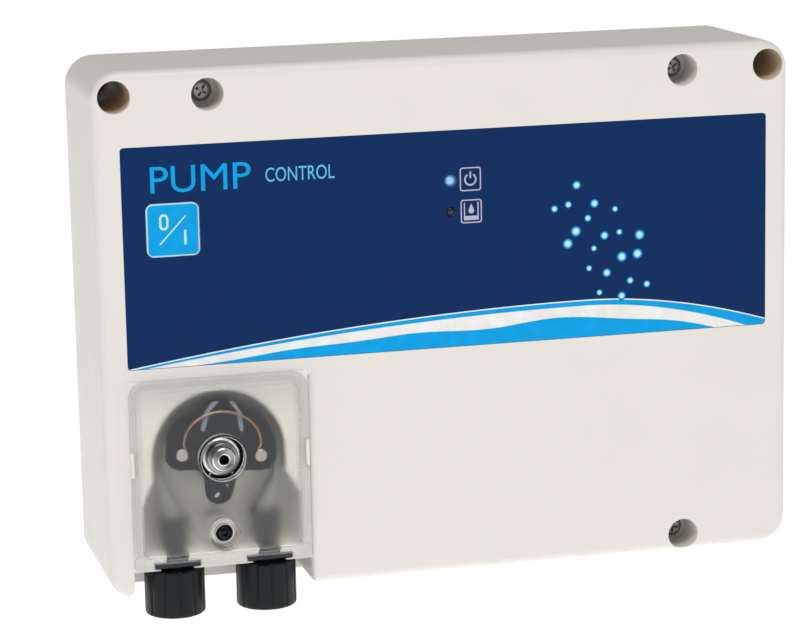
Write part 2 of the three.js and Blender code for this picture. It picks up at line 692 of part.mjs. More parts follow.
// A round wire sprung in an arc over the hub, from one pin to the other.
function springWire() {
  const y = PLATE_FRONT.front - SPRING.wire - TOUCH;
  const hook = [[11.75, 2.9], [12.45, 3.7]];
  const points = [...hook];
  const steps = 12;
  for (let i = 0; i <= steps; i++) {
    const angle = (Math.PI * i) / steps;
    points.push([SPRING.half * Math.cos(angle), SPRING.middleZ + SPRING.rise * Math.sin(angle)]);
  }
  for (const [x, z] of hook.reverse()) points.push([-x, z]);
  const circle = new THREE.Shape().absarc(0, 0, SPRING.wire, 0, 2 * Math.PI);
  const extrudePath = new THREE.CatmullRomCurve3(points.map(([x, z]) => new THREE.Vector3(x, y, z)));
  return solid(new THREE.ExtrudeGeometry(circle, { steps: 16, extrudePath, curveSegments: 3 }));
}

const rollerSpan = { front: PLATE_FRONT.back + 0.3, back: PLATE_BACK.front - 0.3 };
const roller = cut(
  rod(0, 0, ROLLER_R, rollerSpan.back, rollerSpan.front),
  rod(0, 0, PIN_RADIUS + 0.1, 0, FRONT, 14),
);

const rotor = group(head, 0, 0);
rotor.rotation.y = ROTOR_TURN;
add(rotor, 'roller_holder', rollerHolder(), 'slate');
add(rotor, 'hub_nose', hubNose(), 'steel');
add(rotor, 'drive_shaft', rod(0, 0, SHAFT_R, FRONT_GEARS.back, PLATE_FRONT.front + 0.2, 20), 'steel');
add(rotor, 'spring_wire', springWire(), 'brass');
for (const [side, x] of Object.entries({ left: -PIN_X, right: PIN_X })) {
  add(rotor, `roller_${side}`, roller, 'acetal', [x, 0, PIN_Z]);
  add(rotor, `roller_pin_${side}`, rollerPin(), 'steel', [x, 0, PIN_Z]);
}

// ---------------------------------------------------------------- clear cover and its screw

function pumpCover() {
  const flange = roundedRect(COVER.left, COVER.bottom, COVER.right, COVER.top, 5.3);
  const domeOutline = (inset, r) => roundedRect(
    DOME.left + inset, DOME.bottom + inset, DOME.right - inset, DOME.top - inset, r,
  );
  const back = BASE.front - TOUCH * 2;
  const edge = 1.4;
  let body = extrude(flange, back, COVER.flangeFront);
  const lip = roundedRect(COVER.left, COVER.bottom, COVER.right, DOME.bottom + 2, 1.5);
  const dome = extrude(domeOutline(0, DOME.r), back - edge, DOME.front + edge, {
    bevelEnabled: true,
    bevelThickness: edge,
    bevelSize: edge,
    bevelOffset: -edge,
    bevelSegments: 2,
  });
  const frontHalf = box(-99, 99, back, DOME.front - 1, -99, 99);
  const bossBack = DOME.front + DOME.wall;
  body = join(body, extrude(lip, back, COVER.lipFront, { curveSegments: 2 }), dome.intersect(frontHalf));
  body = cut(body, extrude(domeOutline(DOME.wall, DOME.r - DOME.wall), back + 1, bossBack));
  const headSeat = DOME.front + COVER_SCREW_SINK + COVER_SCREW_HEAD;
  body = join(body, rod(0, 0, COVER_HOLE_R + 0.7, bossBack + 1.5, DOME.front, 20));
  body = join(body, rod(0, COVER_SCREW_Z, 5.4, back, DOME.front - 0.2, 16));
  body = cut(body, rod(0, 0, COVER_HOLE_R, 0, FRONT - 20, 20));
  body = cut(body, rod(0, COVER_SCREW_Z, COVER_RECESS_R, headSeat, FRONT - 20));
  body = cut(body, rod(0, COVER_SCREW_Z, 1.8, 0, FRONT - 20, 12));
  const roomR = CONNECTOR.flangeR + GAP;
  for (const x of Object.values(PORTS)) {
    const room = box(x - roomR, x + roomR, 0, COVER.lipFront - 1, COVER.bottom - 1, CONNECTOR.flangeTop + GAP);
    body = cut(body, room);
  }
  for (const side of [-1, 1]) {
    const tabX = side * (BASE.half - 0.7);
    body = cut(body, box(tabX - 0.8, tabX + 0.9, 0, COVER.flangeFront - 0.5, -5.4, 3.6));
  }
  return body;
}

add(head, 'pump_cover', pumpCover(), 'clear');
const coverScrew = screw(2.85, COVER_SCREW_HEAD, 1.55, 15);
add(head, 'cover_screw', coverScrew, 'black', [0, DOME.front + COVER_SCREW_SINK - TOUCH, COVER_SCREW_Z]);

// ---------------------------------------------------------------- hose nuts and clamp rings

function hoseNut() {
  const { r, top, bottom, flutes, mouthR, boreR, wall } = NUT;
  const outline = new THREE.Shape();
  for (let i = 0; i < flutes; i++) {
    const start = (2 * Math.PI * i) / flutes;
    const groove = 0.035;
    const corners = [[r - 0.6, start], [r, start + groove], [r, start + (2 * Math.PI) / flutes - groove]];
    for (const [radius, angle] of corners) {
      const point = [radius * Math.cos(angle), radius * Math.sin(angle)];
      if (i === 0 && angle === start) outline.moveTo(...point);
      else outline.lineTo(...point);
    }
  }
  const prism = solid(new THREE.ExtrudeGeometry(outline, { depth: top - bottom, bevelEnabled: false }));
  const outerR = r + 0.1;
  const edge = 0.8;
  const envelope = [[0, bottom], [outerR - edge, bottom], [outerR, bottom + edge], [outerR, top], [0, top]];
  const rounded = turnZ(envelope, 24);
  const bore = turnZ([[0, bottom + wall], [boreR, bottom + wall], [boreR, top + 1], [0, top + 1]]);
  const mouth = turnZ([[0, bottom - 1], [mouthR, bottom - 1], [mouthR, top], [0, top]], 16);
  return cut(prism.translate([0, 0, bottom]).intersect(rounded), bore, mouth);
}

function clampRing() {
  const { top, bottom, r, boreR } = CLAMP_RING;
  return turnZ([[boreR, bottom], [r, bottom], [r, top], [boreR + 1.2, top]], 18);
}

for (const [side, x] of Object.entries(PORTS)) {
  add(head, `hose_nut_${side}`, hoseNut(), 'black', [x, PORT_Y, 0]);
  add(head, `clamp_ring_${side}`, clampRing(), 'acetal', [x, PORT_Y, 0]);
}

// ---------------------------------------------------------------- gear motor

const centreDistance = (teethA, teethB) => (MODULE * (teethA + teethB)) / 2;
const along = (distance, angle) => [distance * Math.cos(angle), distance * Math.sin(angle)];
const IDLER = along(centreDistance(OUTPUT_TEETH, IDLER_PINION_TEETH), IDLER_ANGLE);
const MOTOR_STEP = along(centreDistance(IDLER_TEETH, MOTOR_TEETH), MOTOR_ANGLE);
const MOTOR = [IDLER[0] + MOTOR_STEP[0], IDLER[1] + MOTOR_STEP[1]];

function gearboxOutline(inset) {
  const outputR = GEARBOX.outputR - inset;
  const idlerR = GEARBOX.idlerR - inset;
  const lean = Math.asin((outputR - idlerR) / Math.hypot(...IDLER));
  const [start, end] = [IDLER_ANGLE + Math.PI / 2 - lean, IDLER_ANGLE - Math.PI / 2 + lean];
  const shape = new THREE.Shape();
  shape.absarc(0, 0, outputR, start, end + 2 * Math.PI, false);
  shape.absarc(IDLER[0], IDLER[1], idlerR, end, start, false);
  return shape;
}

function gearboxCase() {
  const { front, lid, back, wall } = GEARBOX;
  const shell = extrude(gearboxOutline(0), back, front + lid + TOUCH, { curveSegments: 8 });
  const hollow = extrude(gearboxOutline(wall), back - wall, front, { curveSegments: 8 });
  return cut(shell, hollow, rod(MOTOR[0], MOTOR[1], 3, 0, FRONT, 12));
}

function gearboxLid() {
  const { front, lid } = GEARBOX;
  const plate = extrude(gearboxOutline(0), front + lid, front, { curveSegments: 8 });
  return cut(plate, rod(0, 0, SHAFT_R + 0.2, 0, FRONT, 14));
}

function motorCan() {
  const { front, back, r, wall } = CAN;
  const [x, z] = MOTOR;
  const can = cut(rod(x, z, r, back, front, 24), rod(x, z, r - wall, back - wall, front + wall, 24));
  return cut(can, rod(x, z, 3, back - wall, FRONT, 12));
}

function motorRotor() {
  const toothAngle = MOTOR_ANGLE + Math.PI + Math.PI / MOTOR_TEETH;
  const pinion = gear(MOTOR_TEETH, toothAngle, REAR_GEARS.back, REAR_GEARS.front, 0);
  const magnet = rod(0, 0, 9.5, CAN.back - CAN.wall - 1, CAN.front + CAN.wall + 0.8, 16);
  return join(pinion, rod(0, 0, 1.6, CAN.back - CAN.wall - 2, REAR_GEARS.back - 0.5, 10), magnet);
}

function motorCoil() {
  const span = [CAN.back - CAN.wall - 0.4, CAN.front + CAN.wall + 0.4];
  return cut(rod(0, 0, 22.8, ...span, 20), rod(0, 0, 10.4, 0, FRONT));
}

// The output wheel has a tooth on the line to the idler, and the idler's pinion a gap there.
function idlerGear() {
  const gapAngle = IDLER_ANGLE + Math.PI + Math.PI / IDLER_PINION_TEETH;
  const pinion = gear(IDLER_PINION_TEETH, gapAngle, FRONT_GEARS.back + 0.8, FRONT_GEARS.front, AXLE_R + 0.15);
  return join(pinion, gear(IDLER_TEETH, MOTOR_ANGLE, REAR_GEARS.back, REAR_GEARS.front, AXLE_R + 0.15));
}

const outputGear = gear(OUTPUT_TEETH, IDLER_ANGLE, FRONT_GEARS.back, FRONT_GEARS.front, SHAFT_R + 0.15);
const axleEnds = [GEARBOX.back - GEARBOX.wall - TOUCH, GEARBOX.front + GEARBOX.lid + TOUCH];
const idlerAxle = rod(0, 0, AXLE_R, ...axleEnds, 12);
add(head, 'gearbox_case', gearboxCase(), 'steel');
add(head, 'gearbox_lid', gearboxLid(), 'steel');
add(head, 'output_gear', outputGear, 'acetal');
add(head, 'idler_axle', idlerAxle, 'steel', [IDLER[0], 0, IDLER[1]]);
add(head, 'idler_gear', idlerGear(), 'acetal', [IDLER[0], 0, IDLER[1]]);
add(head, 'motor_rotor', motorRotor(), 'black', [MOTOR[0], 0, MOTOR[1]]);
add(head, 'motor_coil', motorCoil(), 'copper', [MOTOR[0], 0, MOTOR[1]]);
add(head, 'motor_can', motorCan(), 'steel');

export default pump;
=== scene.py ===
"""Looks of the wall-mounted peristaltic dosing pump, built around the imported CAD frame.

Shapes are worked out in millimetres and scaled to metres when they become objects.
+X right, +Y into the wall, +Z up.
"""

import math

import bmesh
import bpy
import numpy as np
from mathutils import Matrix, Vector
from mathutils.geometry import delaunay_2d_cdt


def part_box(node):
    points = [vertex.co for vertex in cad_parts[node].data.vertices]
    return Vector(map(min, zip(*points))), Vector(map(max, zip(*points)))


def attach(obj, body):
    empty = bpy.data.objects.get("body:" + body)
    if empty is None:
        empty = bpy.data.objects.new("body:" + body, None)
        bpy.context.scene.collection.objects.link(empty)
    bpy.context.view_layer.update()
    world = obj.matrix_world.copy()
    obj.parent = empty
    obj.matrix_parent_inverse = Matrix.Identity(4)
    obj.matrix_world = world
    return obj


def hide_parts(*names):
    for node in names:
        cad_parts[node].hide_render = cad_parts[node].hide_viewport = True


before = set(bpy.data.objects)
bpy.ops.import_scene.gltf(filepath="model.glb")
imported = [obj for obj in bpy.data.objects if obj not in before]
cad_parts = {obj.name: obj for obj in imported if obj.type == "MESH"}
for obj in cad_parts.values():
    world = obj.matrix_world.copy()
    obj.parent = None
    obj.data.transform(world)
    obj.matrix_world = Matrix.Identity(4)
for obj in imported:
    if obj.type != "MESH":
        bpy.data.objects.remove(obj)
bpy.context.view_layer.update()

MM = 0.001
scene = bpy.context.scene


def box_mm(node):
    """Lowest and highest corner of a CAD node, in millimetres."""
    low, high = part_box(node)
    return [v / MM for v in low], [v / MM for v in high]


def span_mm(node, axis=1):
    """Where a CAD node starts and ends along an axis, Y unless another is given."""
    low, high = box_mm(node)
    return low[axis], high[axis]


def centre_mm(node):
    low, high = box_mm(node)
    return [(a + b) / 2 for a, b in zip(low, high)]


def added(name, data):
    """A new object in the scene, of its data."""
    obj = bpy.data.objects.new(name, data)
    scene.collection.objects.link(obj)
    return obj


# ---------- driving places, from the frame

(LEFT, FRONT, BOTTOM), (RIGHT, _, TOP) = box_mm("front_housing")
HEAD_X, _, HEAD_Z = centre_mm("drive_shaft")
HEAD_AXIS = (HEAD_X, 0, HEAD_Z)
LID_SCREWS = [centre_mm(f"lid_screw_{i}") for i in (1, 2, 3)]
WELL_R = 5.2
LID_HEAD = 2.4
WELL_FLOOR = span_mm("lid_screw_1")[0] + LID_HEAD + 0.1
WALL_HOLES = [(x, LID_SCREWS[0][2] + 0.4) for x in (-109.7, 109.7)]
WALL_HOLE_SEAT = -6
WALL_SCREW_R = 3.3
SLEEVE_R = 7.3
LABEL_LOW, LABEL_HIGH = box_mm("front_label")
KEY_X, _, KEY_Z = centre_mm("key_button")
KEY_HALF = 8.6
KEY_GAP = 0.3
LEDS = {"led_power": centre_mm("led_power"), "led_level": centre_mm("led_level")}
ROTOR_TURN = math.radians(4.6)
PINS = {side: centre_mm(f"roller_pin_{side}") for side in ("left", "right")}
PORTS = {side: centre_mm(f"hose_nut_{side}") for side in ("left", "right")}
GROMMETS = {i: centre_mm(f"cable_grommet_{i}") for i in (1, 2)}
COVER_SCREW_Z = centre_mm("cover_screw")[2]


# ---------- outlines in X and Z

def arc(x, z, radius, start, end, steps):
    """Points on an arc, angles in degrees."""
    angles = [math.radians(start + (end - start) * i / steps) for i in range(steps + 1)]
    return [(x + radius * math.cos(a), z + radius * math.sin(a)) for a in angles]


def rounded_rect(left, right, bottom, top, radius, steps=12):
    """A function from an inset to the outline's points, anticlockwise."""
    def outline(inset=0.0):
        r = max(radius - inset, 0.05)
        low_x, high_x = left + inset + r, right - inset - r
        low_z, high_z = bottom + inset + r, top - inset - r
        middles = [(high_x, high_z), (low_x, high_z), (low_x, low_z), (high_x, low_z)]
        return [p for i, (x, z) in enumerate(middles) for p in arc(x, z, r, 90 * i, 90 * i + 90, steps)]
    return outline


def boxed(x, z, half_wide, half_high, radius, steps):
    """A rounded rectangle round a middle."""
    return rounded_rect(x - half_wide, x + half_wide, z - half_high, z + half_high, radius, steps)


def circle(x, z, radius, steps=48):
    def outline(inset=0.0):
        return arc(x, z, radius - inset, 0, 360 - 360 / steps, steps - 1)
    return outline


def offsettable(points):
    """A function from an inset to a free outline's points, moved along their normals."""
    ring = np.array(points)
    edges = ring - np.roll(ring, 1, axis=0)
    normals = np.stack([-edges[:, 1], edges[:, 0]], axis=1) / np.linalg.norm(edges, axis=1)[:, None]
    middle = normals + np.roll(normals, -1, axis=0)
    stretch = (middle * normals).sum(axis=1)

    def outline(inset=0.0):
        return [tuple(p) for p in ring + inset * middle / np.maximum(stretch, 0.6)[:, None]]
    return outline


def turned_outline(points, angle, x, z):
    """Points turned clockwise, seen from the front, and moved."""
    c, s = math.cos(angle), math.sin(angle)
    return [(x + px * c + pz * s, z - px * s + pz * c) for px, pz in points]


def direction(line, i):
    """The direction of a line of points at one of them, from its neighbours."""
    before, after = line[max(i - 1, 0)], line[min(i + 1, len(line) - 1)]
    return Vector((after[0] - before[0], after[1] - before[1])).normalized()


def from_head(x, z):
    """How far a point is from the rotor's axis."""
    return math.hypot(x - HEAD_X, z - HEAD_Z)


def round_edge(y, radius, steps=6):
    """Levels of inset and y from a front face round an outer edge."""
    angles = [math.pi / 2 * i / steps for i in range(steps + 1)]
    return [(radius * (1 - math.sin(a)), y + radius * (1 - math.cos(a))) for a in angles]


def round_mouth(y, radius, steps=5):
    """Levels of a cutter that leaves a rounded edge round the mouth of a hole."""
    levels = [(-radius, y - 1)]
    for i in range(steps + 1):
        depth = radius * i / steps
        levels.append((math.sqrt(radius ** 2 - (radius - depth) ** 2) - radius, y + depth))
    return levels


# ---------- closed meshes

def mesh_of(points, faces):
    """A mesh with its coinciding points merged and its faces turned outwards."""
    mesh = bpy.data.meshes.new("solid")
    mesh.from_pydata([tuple(p) for p in points], [], faces)
    work = bmesh.new()
    work.from_mesh(mesh)
    bmesh.ops.remove_doubles(work, verts=work.verts, dist=1e-5)
    bmesh.ops.recalc_face_normals(work, faces=work.faces)
    work.to_mesh(mesh)
    work.free()
    return mesh


def bridged(loops, closed=False):
    """A mesh through loops of equally many points: capped at its ends, or closed on itself."""
    count = len(loops[0])
    points = [p for loop in loops for p in loop]
    faces = []
    spans = len(loops) if closed else len(loops) - 1
    for level in range(spans):
        here, there = level * count, (level + 1) % len(loops) * count
        for i in range(count):
            j = (i + 1) % count
            faces.append((here + i, here + j, there + j, there + i))
    if not closed:
        faces.append(tuple(range(count)))
        faces.append(tuple(range(len(points) - count, len(points))))
    return mesh_of(points, faces)


def prism(outline, levels):
    """An outline taken along Y through levels of inset and y."""
    return bridged([[(x, y, z) for x, z in outline(inset)] for inset, y in levels])


def plain_prism(outline, front, back):
    return prism(outline, [(0, front), (0, back)])


def rod(x, z, radius, front, back, steps=48):
    return plain_prism(circle(x, z, radius, steps), front, back)


def washer(inner, outer, low, high):
    """The profile of a plain ring: two radii and two ends."""
    return [(inner, low), (outer, low), (outer, high), (inner, high)]


def turned(profile, axis, centre, segments=64):
    """A closed profile of radius and height turned about an axis along Y or Z."""
    x, y, z = centre
    loops = []
    for i in range(segments):
        a = 2 * math.pi * i / segments
        if axis == "Y":
            loops.append([(x + r * math.cos(a), y + h, z + r * math.sin(a)) for r, h in profile])
        else:
            loops.append([(x + r * math.cos(a), y + r * math.sin(a), z + h) for r, h in profile])
    return bridged_profile(loops)


def swept(line, start, sides, section):
    """A solid along a line of points in X and Z, given from a start.

    section says how far its wall is across the line and along Y, from a point and an angle's cosine and sine.
    """
    x0, y0, z0 = start
    loops = []
    for i, point in enumerate(line):
        along = direction(line, i)
        loop = []
        for k in range(sides):
            a = 2 * math.pi * k / sides
            across, out = section(point, math.cos(a), math.sin(a))
            loop.append((x0 + point[0] - along.y * across, y0 + out, z0 + point[1] + along.x * across))
        loops.append(loop)
    return bridged(loops)


def bridged_profile(loops):
    """Profiles side by side round an axis. A profile that ends on the axis isn't joined end to start."""
    count = len(loops[0])
    on_axis = (Vector(loops[0][0]) - Vector(loops[1][0])).length < 1e-6
    points = [p for loop in loops for p in loop]
    faces = []
    for turn in range(len(loops)):
        here, there = turn * count, (turn + 1) % len(loops) * count
        for i in range(count - 1 if on_axis else count):
            j = (i + 1) % count
            corners = [here + i, here + j, there + j, there + i]
            if on_axis and i == 0:
                corners = [here, here + 1, there + 1]
            elif on_axis and j == count - 1:
                corners = [here + i, here + j, there + i]
            faces.append(tuple(corners))
    return mesh_of(points, faces)


def dome(radius, height, front, steps):
    """A domed end's profile, from its middle to its edge."""
    angles = np.linspace(0, math.pi / 2, steps)
    return [(radius * math.sin(a), front + height * (1 - math.cos(a))) for a in angles]


def softened(profile, radius, steps=4):
    """A profile with its corners rounded. The first and last point stay as they are."""
    points = [profile[0]]
    for before, at, after in zip(profile, profile[1:], profile[2:]):
        a, p, b = Vector(before), Vector(at), Vector(after)
        reach = min(radius, (a - p).length * 0.45, (b - p).length * 0.45)
        start, end = p + (a - p).normalized() * reach, p + (b - p).normalized() * reach
        for i in range(steps + 1):
            t = i / steps
            point = start * (1 - t) ** 2 + p * 2 * t * (1 - t) + end * t ** 2
            points.append((point.x, point.y))
    points.append(profile[-1])
    return points


def combined(operation, first, *others):
    """Closed meshes joined or cut by the boolean modifier."""
    objects = [added("work", mesh) for mesh in (first, *others)]
    host = objects[0]
    for other in objects[1:]:
        modifier = host.modifiers.new("boolean", "BOOLEAN")
        modifier.operation = operation
        modifier.solver = "MANIFOLD"
        modifier.object = other
    evaluated = host.evaluated_get(bpy.context.evaluated_depsgraph_get())
    result = bpy.data.meshes.new_from_object(evaluated)
    for obj in objects:
        bpy.data.objects.remove(obj)
    return result


def joined(first, *others):
    return combined("UNION", first, *others)


def cut(first, *others):
    return combined("DIFFERENCE", first, *others)


def side_by_side(*meshes):
    """Closed meshes kept as separate shells of one mesh."""
    work = bmesh.new()
    for mesh in meshes:
        work.from_mesh(mesh)
    together = bpy.data.meshes.new("shells")
    work.to_mesh(together)
    work.free()
    return together


def block(left, right, front, back, bottom, top, edge=0.3):
    levels = [(edge, front), (0, front + edge), (0, back)]
    return prism(rounded_rect(left, right, bottom, top, edge, 3), levels)


# ---------- pieces

def piece(name, mesh, material, body, slot, *replaced, sharp=35, others=()):
    """Makes a mesh in millimetres a piece of the object that rides on a body.

    others are (material, test) pairs. The test says, from a face's centre, whether it has that material.
    """
    mesh.name = name
    mesh.materials.clear()
    mesh.materials.append(material)
    for i, (other, test) in enumerate(others):
        mesh.materials.append(other)
        for face in mesh.polygons:
            if test(*face.center):
                face.material_index = i + 1
    mesh.transform(Matrix.Scale(MM, 4))
    mesh.shade_smooth()
    mesh.set_sharp_from_angle(angle=math.radians(sharp))
    obj = added(name, mesh)
    normals = obj.modifiers.new("normals", "WEIGHTED_NORMAL")
    normals.keep_sharp = True
    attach(obj, body)
    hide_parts(*replaced)
    return obj


# ---------- materials

def linear(*rgb):
    """A colour given as 0 to 255 values on screen, as the shader takes it."""
    return tuple(((c / 255 + 0.055) / 1.055) ** 2.4 if c > 10 else c / 255 / 12.92 for c in rgb) + (1,)


def scaled(colour, amount):
    """A colour made darker or lighter."""
    return tuple(min(1, c * amount) for c in colour[:3]) + (1,)


class Nodes:
    """A material's node tree, with the steps that most materials here take."""

    def __init__(self, name):
        self.material = bpy.data.materials.new(name)
        self.material.use_nodes = True
        self.tree = self.material.node_tree
        self.shader = self.tree.nodes["Principled BSDF"]
        self.place = self.new("TexCoord", "Object", {})

    def feed(self, node, inputs):
        """Gives inputs of a node their values. A value that is a socket is linked."""
        for key, value in inputs.items():
            if isinstance(value, bpy.types.NodeSocket):
                self.tree.links.new(value, node.inputs[key])
            else:
                node.inputs[key].default_value = value

    def new(self, kind, output, inputs, **settings):
        """One output of a new node."""
        node = self.tree.nodes.new("ShaderNode" + kind)
        for key, value in settings.items():
            setattr(node, key, value)
        self.feed(node, inputs)
        return node.outputs[output]

    def shade(self, inputs):
        """The material, once its shader has these inputs."""
        self.feed(self.shader, inputs)
        return self.material

    def math(self, operation, *values):
        return self.new("Math", "Value", dict(enumerate(values)), operation=operation)

    def noise(self, size_mm, detail=3, stretch=None):
        """Noise with features of a size."""
        place = self.place
        if stretch:
            place = self.new("Mapping", "Vector", {"Scale": stretch, "Vector": place})
        return self.new("TexNoise", "Fac", {"Scale": 1 / (size_mm * MM), "Detail": detail, "Vector": place})

    def ramp(self, factor, low, high, start=0.35, end=0.65):
        """A colour between two, by a factor."""
        colour = self.new("ValToRGB", "Color", {"Fac": factor})
        for stop, position, tone in zip(colour.node.color_ramp.elements, (start, end), (low, high)):
            stop.position, stop.color = position, tone
        return colour

    def spread(self, factor, low, high):
        """A number between two. The factor is noise, which mostly lies between 0.3 and 0.7."""
        return self.new("MapRange", "Result", {
            "From Min": 0.3, "From Max": 0.7, "To Min": low, "To Max": high, "Value": factor})

    def smooth_step(self, value, start, end, low=0, high=1):
        """A number that goes from low to high between two places."""
        return self.new("MapRange", "Result", {
            "From Min": start, "From Max": end, "To Min": low, "To Max": high, "Value": value,
        }, interpolation_type="SMOOTHSTEP")

    def tinted(self, colour, factor, amount):
        """A colour that a factor makes up to an amount lighter or darker."""
        scale = self.spread(factor, 1 - amount, 1 + amount)
        return self.new("VectorMath", "Vector", {0: colour, "Scale": scale}, operation="SCALE")

    def bump(self, height, depth_mm):
        return self.new("Bump", "Normal", {"Strength": 1, "Distance": depth_mm * MM, "Height": height})


def plastic(name, colour, roughness, grain_mm=0.35, grain_depth=0.012, variation=0.03, specular=0.5):
    """Moulded plastic: slow changes of tone, a fine eroded texture and uneven gloss."""
    n = Nodes(name)
    return n.shade({
        "Base Color": n.ramp(n.noise(22, 4), scaled(colour, 1 - variation), scaled(colour, 1 + variation)),
        "Roughness": n.spread(n.noise(6), roughness - 0.05, roughness + 0.05),
        "Specular IOR Level": specular,
        "Normal": n.bump(n.noise(grain_mm, 2), grain_depth),
    })


def metal(name, colour, roughness, brushing=None, wear=0.08):
    """Metal with a plain or brushed finish and darker and lighter places."""
    n = Nodes(name)
    return n.shade({
        "Metallic": 1,
        "Base Color": n.ramp(n.noise(2.5, 5), scaled(colour, 1 - wear), scaled(colour, 1 + wear)),
        "Roughness": n.spread(n.noise(1.2, 4), roughness - 0.07, roughness + 0.07),
        "Normal": n.bump(n.noise(0.25, 3, brushing), 0.006),
    })


def turned_metal(name, colour, roughness, x, z):
    """Metal with the fine rings that a lathe leaves round an axis along Y, and light and dark wedges painted
    into its colour as highlights and shade.
    """
    n = Nodes(name)
    place = n.new("Mapping", "Vector", {
        "Location": (-x * MM, 0, -z * MM), "Scale": (1, 0, 1), "Vector": n.place})
    rings = n.new("TexWave", "Fac", {"Scale": 900, "Distortion": 1.2, "Vector": place},
                  wave_type="RINGS", rings_direction="SPHERICAL")
    tone = n.ramp(n.noise(1.6, 4), scaled(colour, 0.78), colour)
    return n.shade({
        "Metallic": 1,
        # Painted highlights and shade: the wedges lighten and darken the colour round the axis.
        "Base Color": n.tinted(tone, wedges(n, x, z), 0.5),
        "Roughness": n.spread(n.noise(0.8), roughness - 0.06, roughness + 0.1),
        "Normal": n.bump(rings, 0.008),
    })


def wedges(n, x, z):
    """Two light wedges and two dark ones round an axis along Y: painted highlights and painted shade in the
    colour, standing in for the reflections on lathe-turned faces.
    """
    split = n.new("SeparateXYZ", "X", {"Vector": n.place}).node.outputs
    across = n.math("SUBTRACT", split["X"], x * MM)
    up = n.math("SUBTRACT", split["Z"], z * MM)
    doubled = n.math("MULTIPLY_ADD", n.math("ARCTAN2", up, across), 2, -math.radians(80))
    return n.math("MULTIPLY_ADD", n.math("COSINE", doubled), 0.2, 0.5)


def printed_film(name, roughness):
    """A printed polyester film: its colours come from the mesh, its fine texture from noise."""
    n = Nodes(name)
    colours = n.new("VertexColor", "Color", {}, layer_name="print")
    return n.shade({
        "Base Color": n.tinted(colours, n.noise(5, 4), 0.07),
        "Roughness": n.spread(n.noise(3), roughness - 0.05, roughness + 0.05),
        "Specular IOR Level": 0.1,
        "Normal": n.bump(n.noise(0.5, 2), 0.015),
    })


def tube_elastomer(name, dark, light, low, high):
    """A pump tube, painted darker in its upper half as shade, pale below, with the change between two
    heights.
    """
    n = Nodes(name)
    height = n.new("SeparateXYZ", "Z", {"Vector": n.place})
    tone = n.ramp(n.smooth_step(height, low * MM, high * MM), light, dark, 0, 1)
    return n.shade({
        "Base Color": n.tinted(tone, n.noise(3, 4), 0.08),
        "Roughness": n.spread(n.noise(2), 0.5, 0.65),
        "Normal": n.bump(n.noise(0.4, 2), 0.01),
    })


def from_axis(n, x, z):
    """A shader's distance from an axis along Y."""
    flat = n.new("VectorMath", "Vector", {0: n.place, 1: (1, 0, 1)}, operation="MULTIPLY")
    return n.new("VectorMath", "Value", {0: flat, 1: (x * MM, 0, z * MM)}, operation="DISTANCE")


def clear_plastic(name, tint, near, far, haze):
    """Clear plastic that lamps shine through, with a roughness near the rotor's axis and another far off."""
    n = Nodes(name)
    near_r, far_r = 19 * MM, 22.5 * MM
    roughness = n.smooth_step(from_axis(n, HEAD_X, HEAD_Z), near_r, far_r, near, far)
    n.shade({
        "Base Color": n.ramp(n.noise(9), scaled(tint, 0.985), tint),
        "Roughness": n.math("MULTIPLY_ADD", n.noise(4, 4), 0.03, roughness),
        "Transmission Weight": 1 - haze,
        "IOR": 1.4,
        "Specular Tint": (0.3, 0.3, 0.3, 1),
    })
    through = n.new("BsdfTransparent", "BSDF", {"Color": (0.93, 0.93, 0.93, 1)})
    shadow = n.new("LightPath", "Is Shadow Ray", {})
    mixed = n.new("MixShader", "Shader", {"Fac": shadow, 1: n.shader.outputs["BSDF"], 2: through})
    n.feed(n.tree.nodes["Material Output"], {"Surface": mixed})
    return n.material


def shell_plastic(name, tint, roughness, flat, steep):
    """A thin clear wall, fainter face on than at a slant."""
    n = Nodes(name)
    slant = n.new("LayerWeight", "Facing", {"Blend": 0.4})
    return n.shade({
        "Base Color": n.ramp(n.noise(9), scaled(tint, 0.94), tint),
        "Roughness": n.spread(n.noise(4), roughness - 0.04, roughness + 0.04),
        "Alpha": n.new("MapRange", "Result", {"To Min": flat, "To Max": steep, "Value": slant}),
    })


def lamp_lens(name, colour, glow):
    """A lamp's lens, lit or dark."""
    n = Nodes(name)
    tone = n.ramp(n.noise(0.8, 2), scaled(colour, 0.8), colour)
    if glow:
        n.shade({"Emission Color": tone, "Emission Strength": glow})
    return n.shade({"Base Color": tone, "Roughness": 0.25, "Normal": n.bump(n.noise(0.4, 2), 0.004)})


def winding(name, colour):
    """Enamelled wire wound round an axis along Y."""
    n = Nodes(name)
    turns = n.new("TexWave", "Fac", {"Scale": 900, "Vector": n.place}, bands_direction="Y")
    return n.shade({
        "Metallic": 0.8,
        "Roughness": 0.35,
        "Base Color": n.ramp(turns, scaled(colour, 0.45), colour),
        "Normal": n.bump(turns, 0.15),
    })


def circuit_board(name):
    """Solder mask over copper tracks on a grid."""
    n = Nodes(name)
    place = n.new("Mapping", "Vector", {"Rotation": (math.pi / 2, 0, 0), "Vector": n.place})
    tracks = n.new("TexBrick", "Color", {
        "Scale": 110, "Mortar Size": 0.06, "Vector": place,
        "Color1": linear(24, 92, 50), "Color2": linear(30, 104, 58), "Mortar": linear(52, 138, 82)})
    return n.shade({
        "Base Color": n.tinted(tracks, n.noise(12), 0.12),
        "Roughness": 0.38,
        "Normal": n.bump(tracks.node.outputs["Fac"], 0.04),
    })


NAVY = linear(3, 42, 92)
CYAN = linear(0, 158, 224)
PRINT_WHITE = linear(233, 232, 229)
ICON_TONE = linear(184, 178, 200)
PALE_BLUE = linear(96, 186, 232)

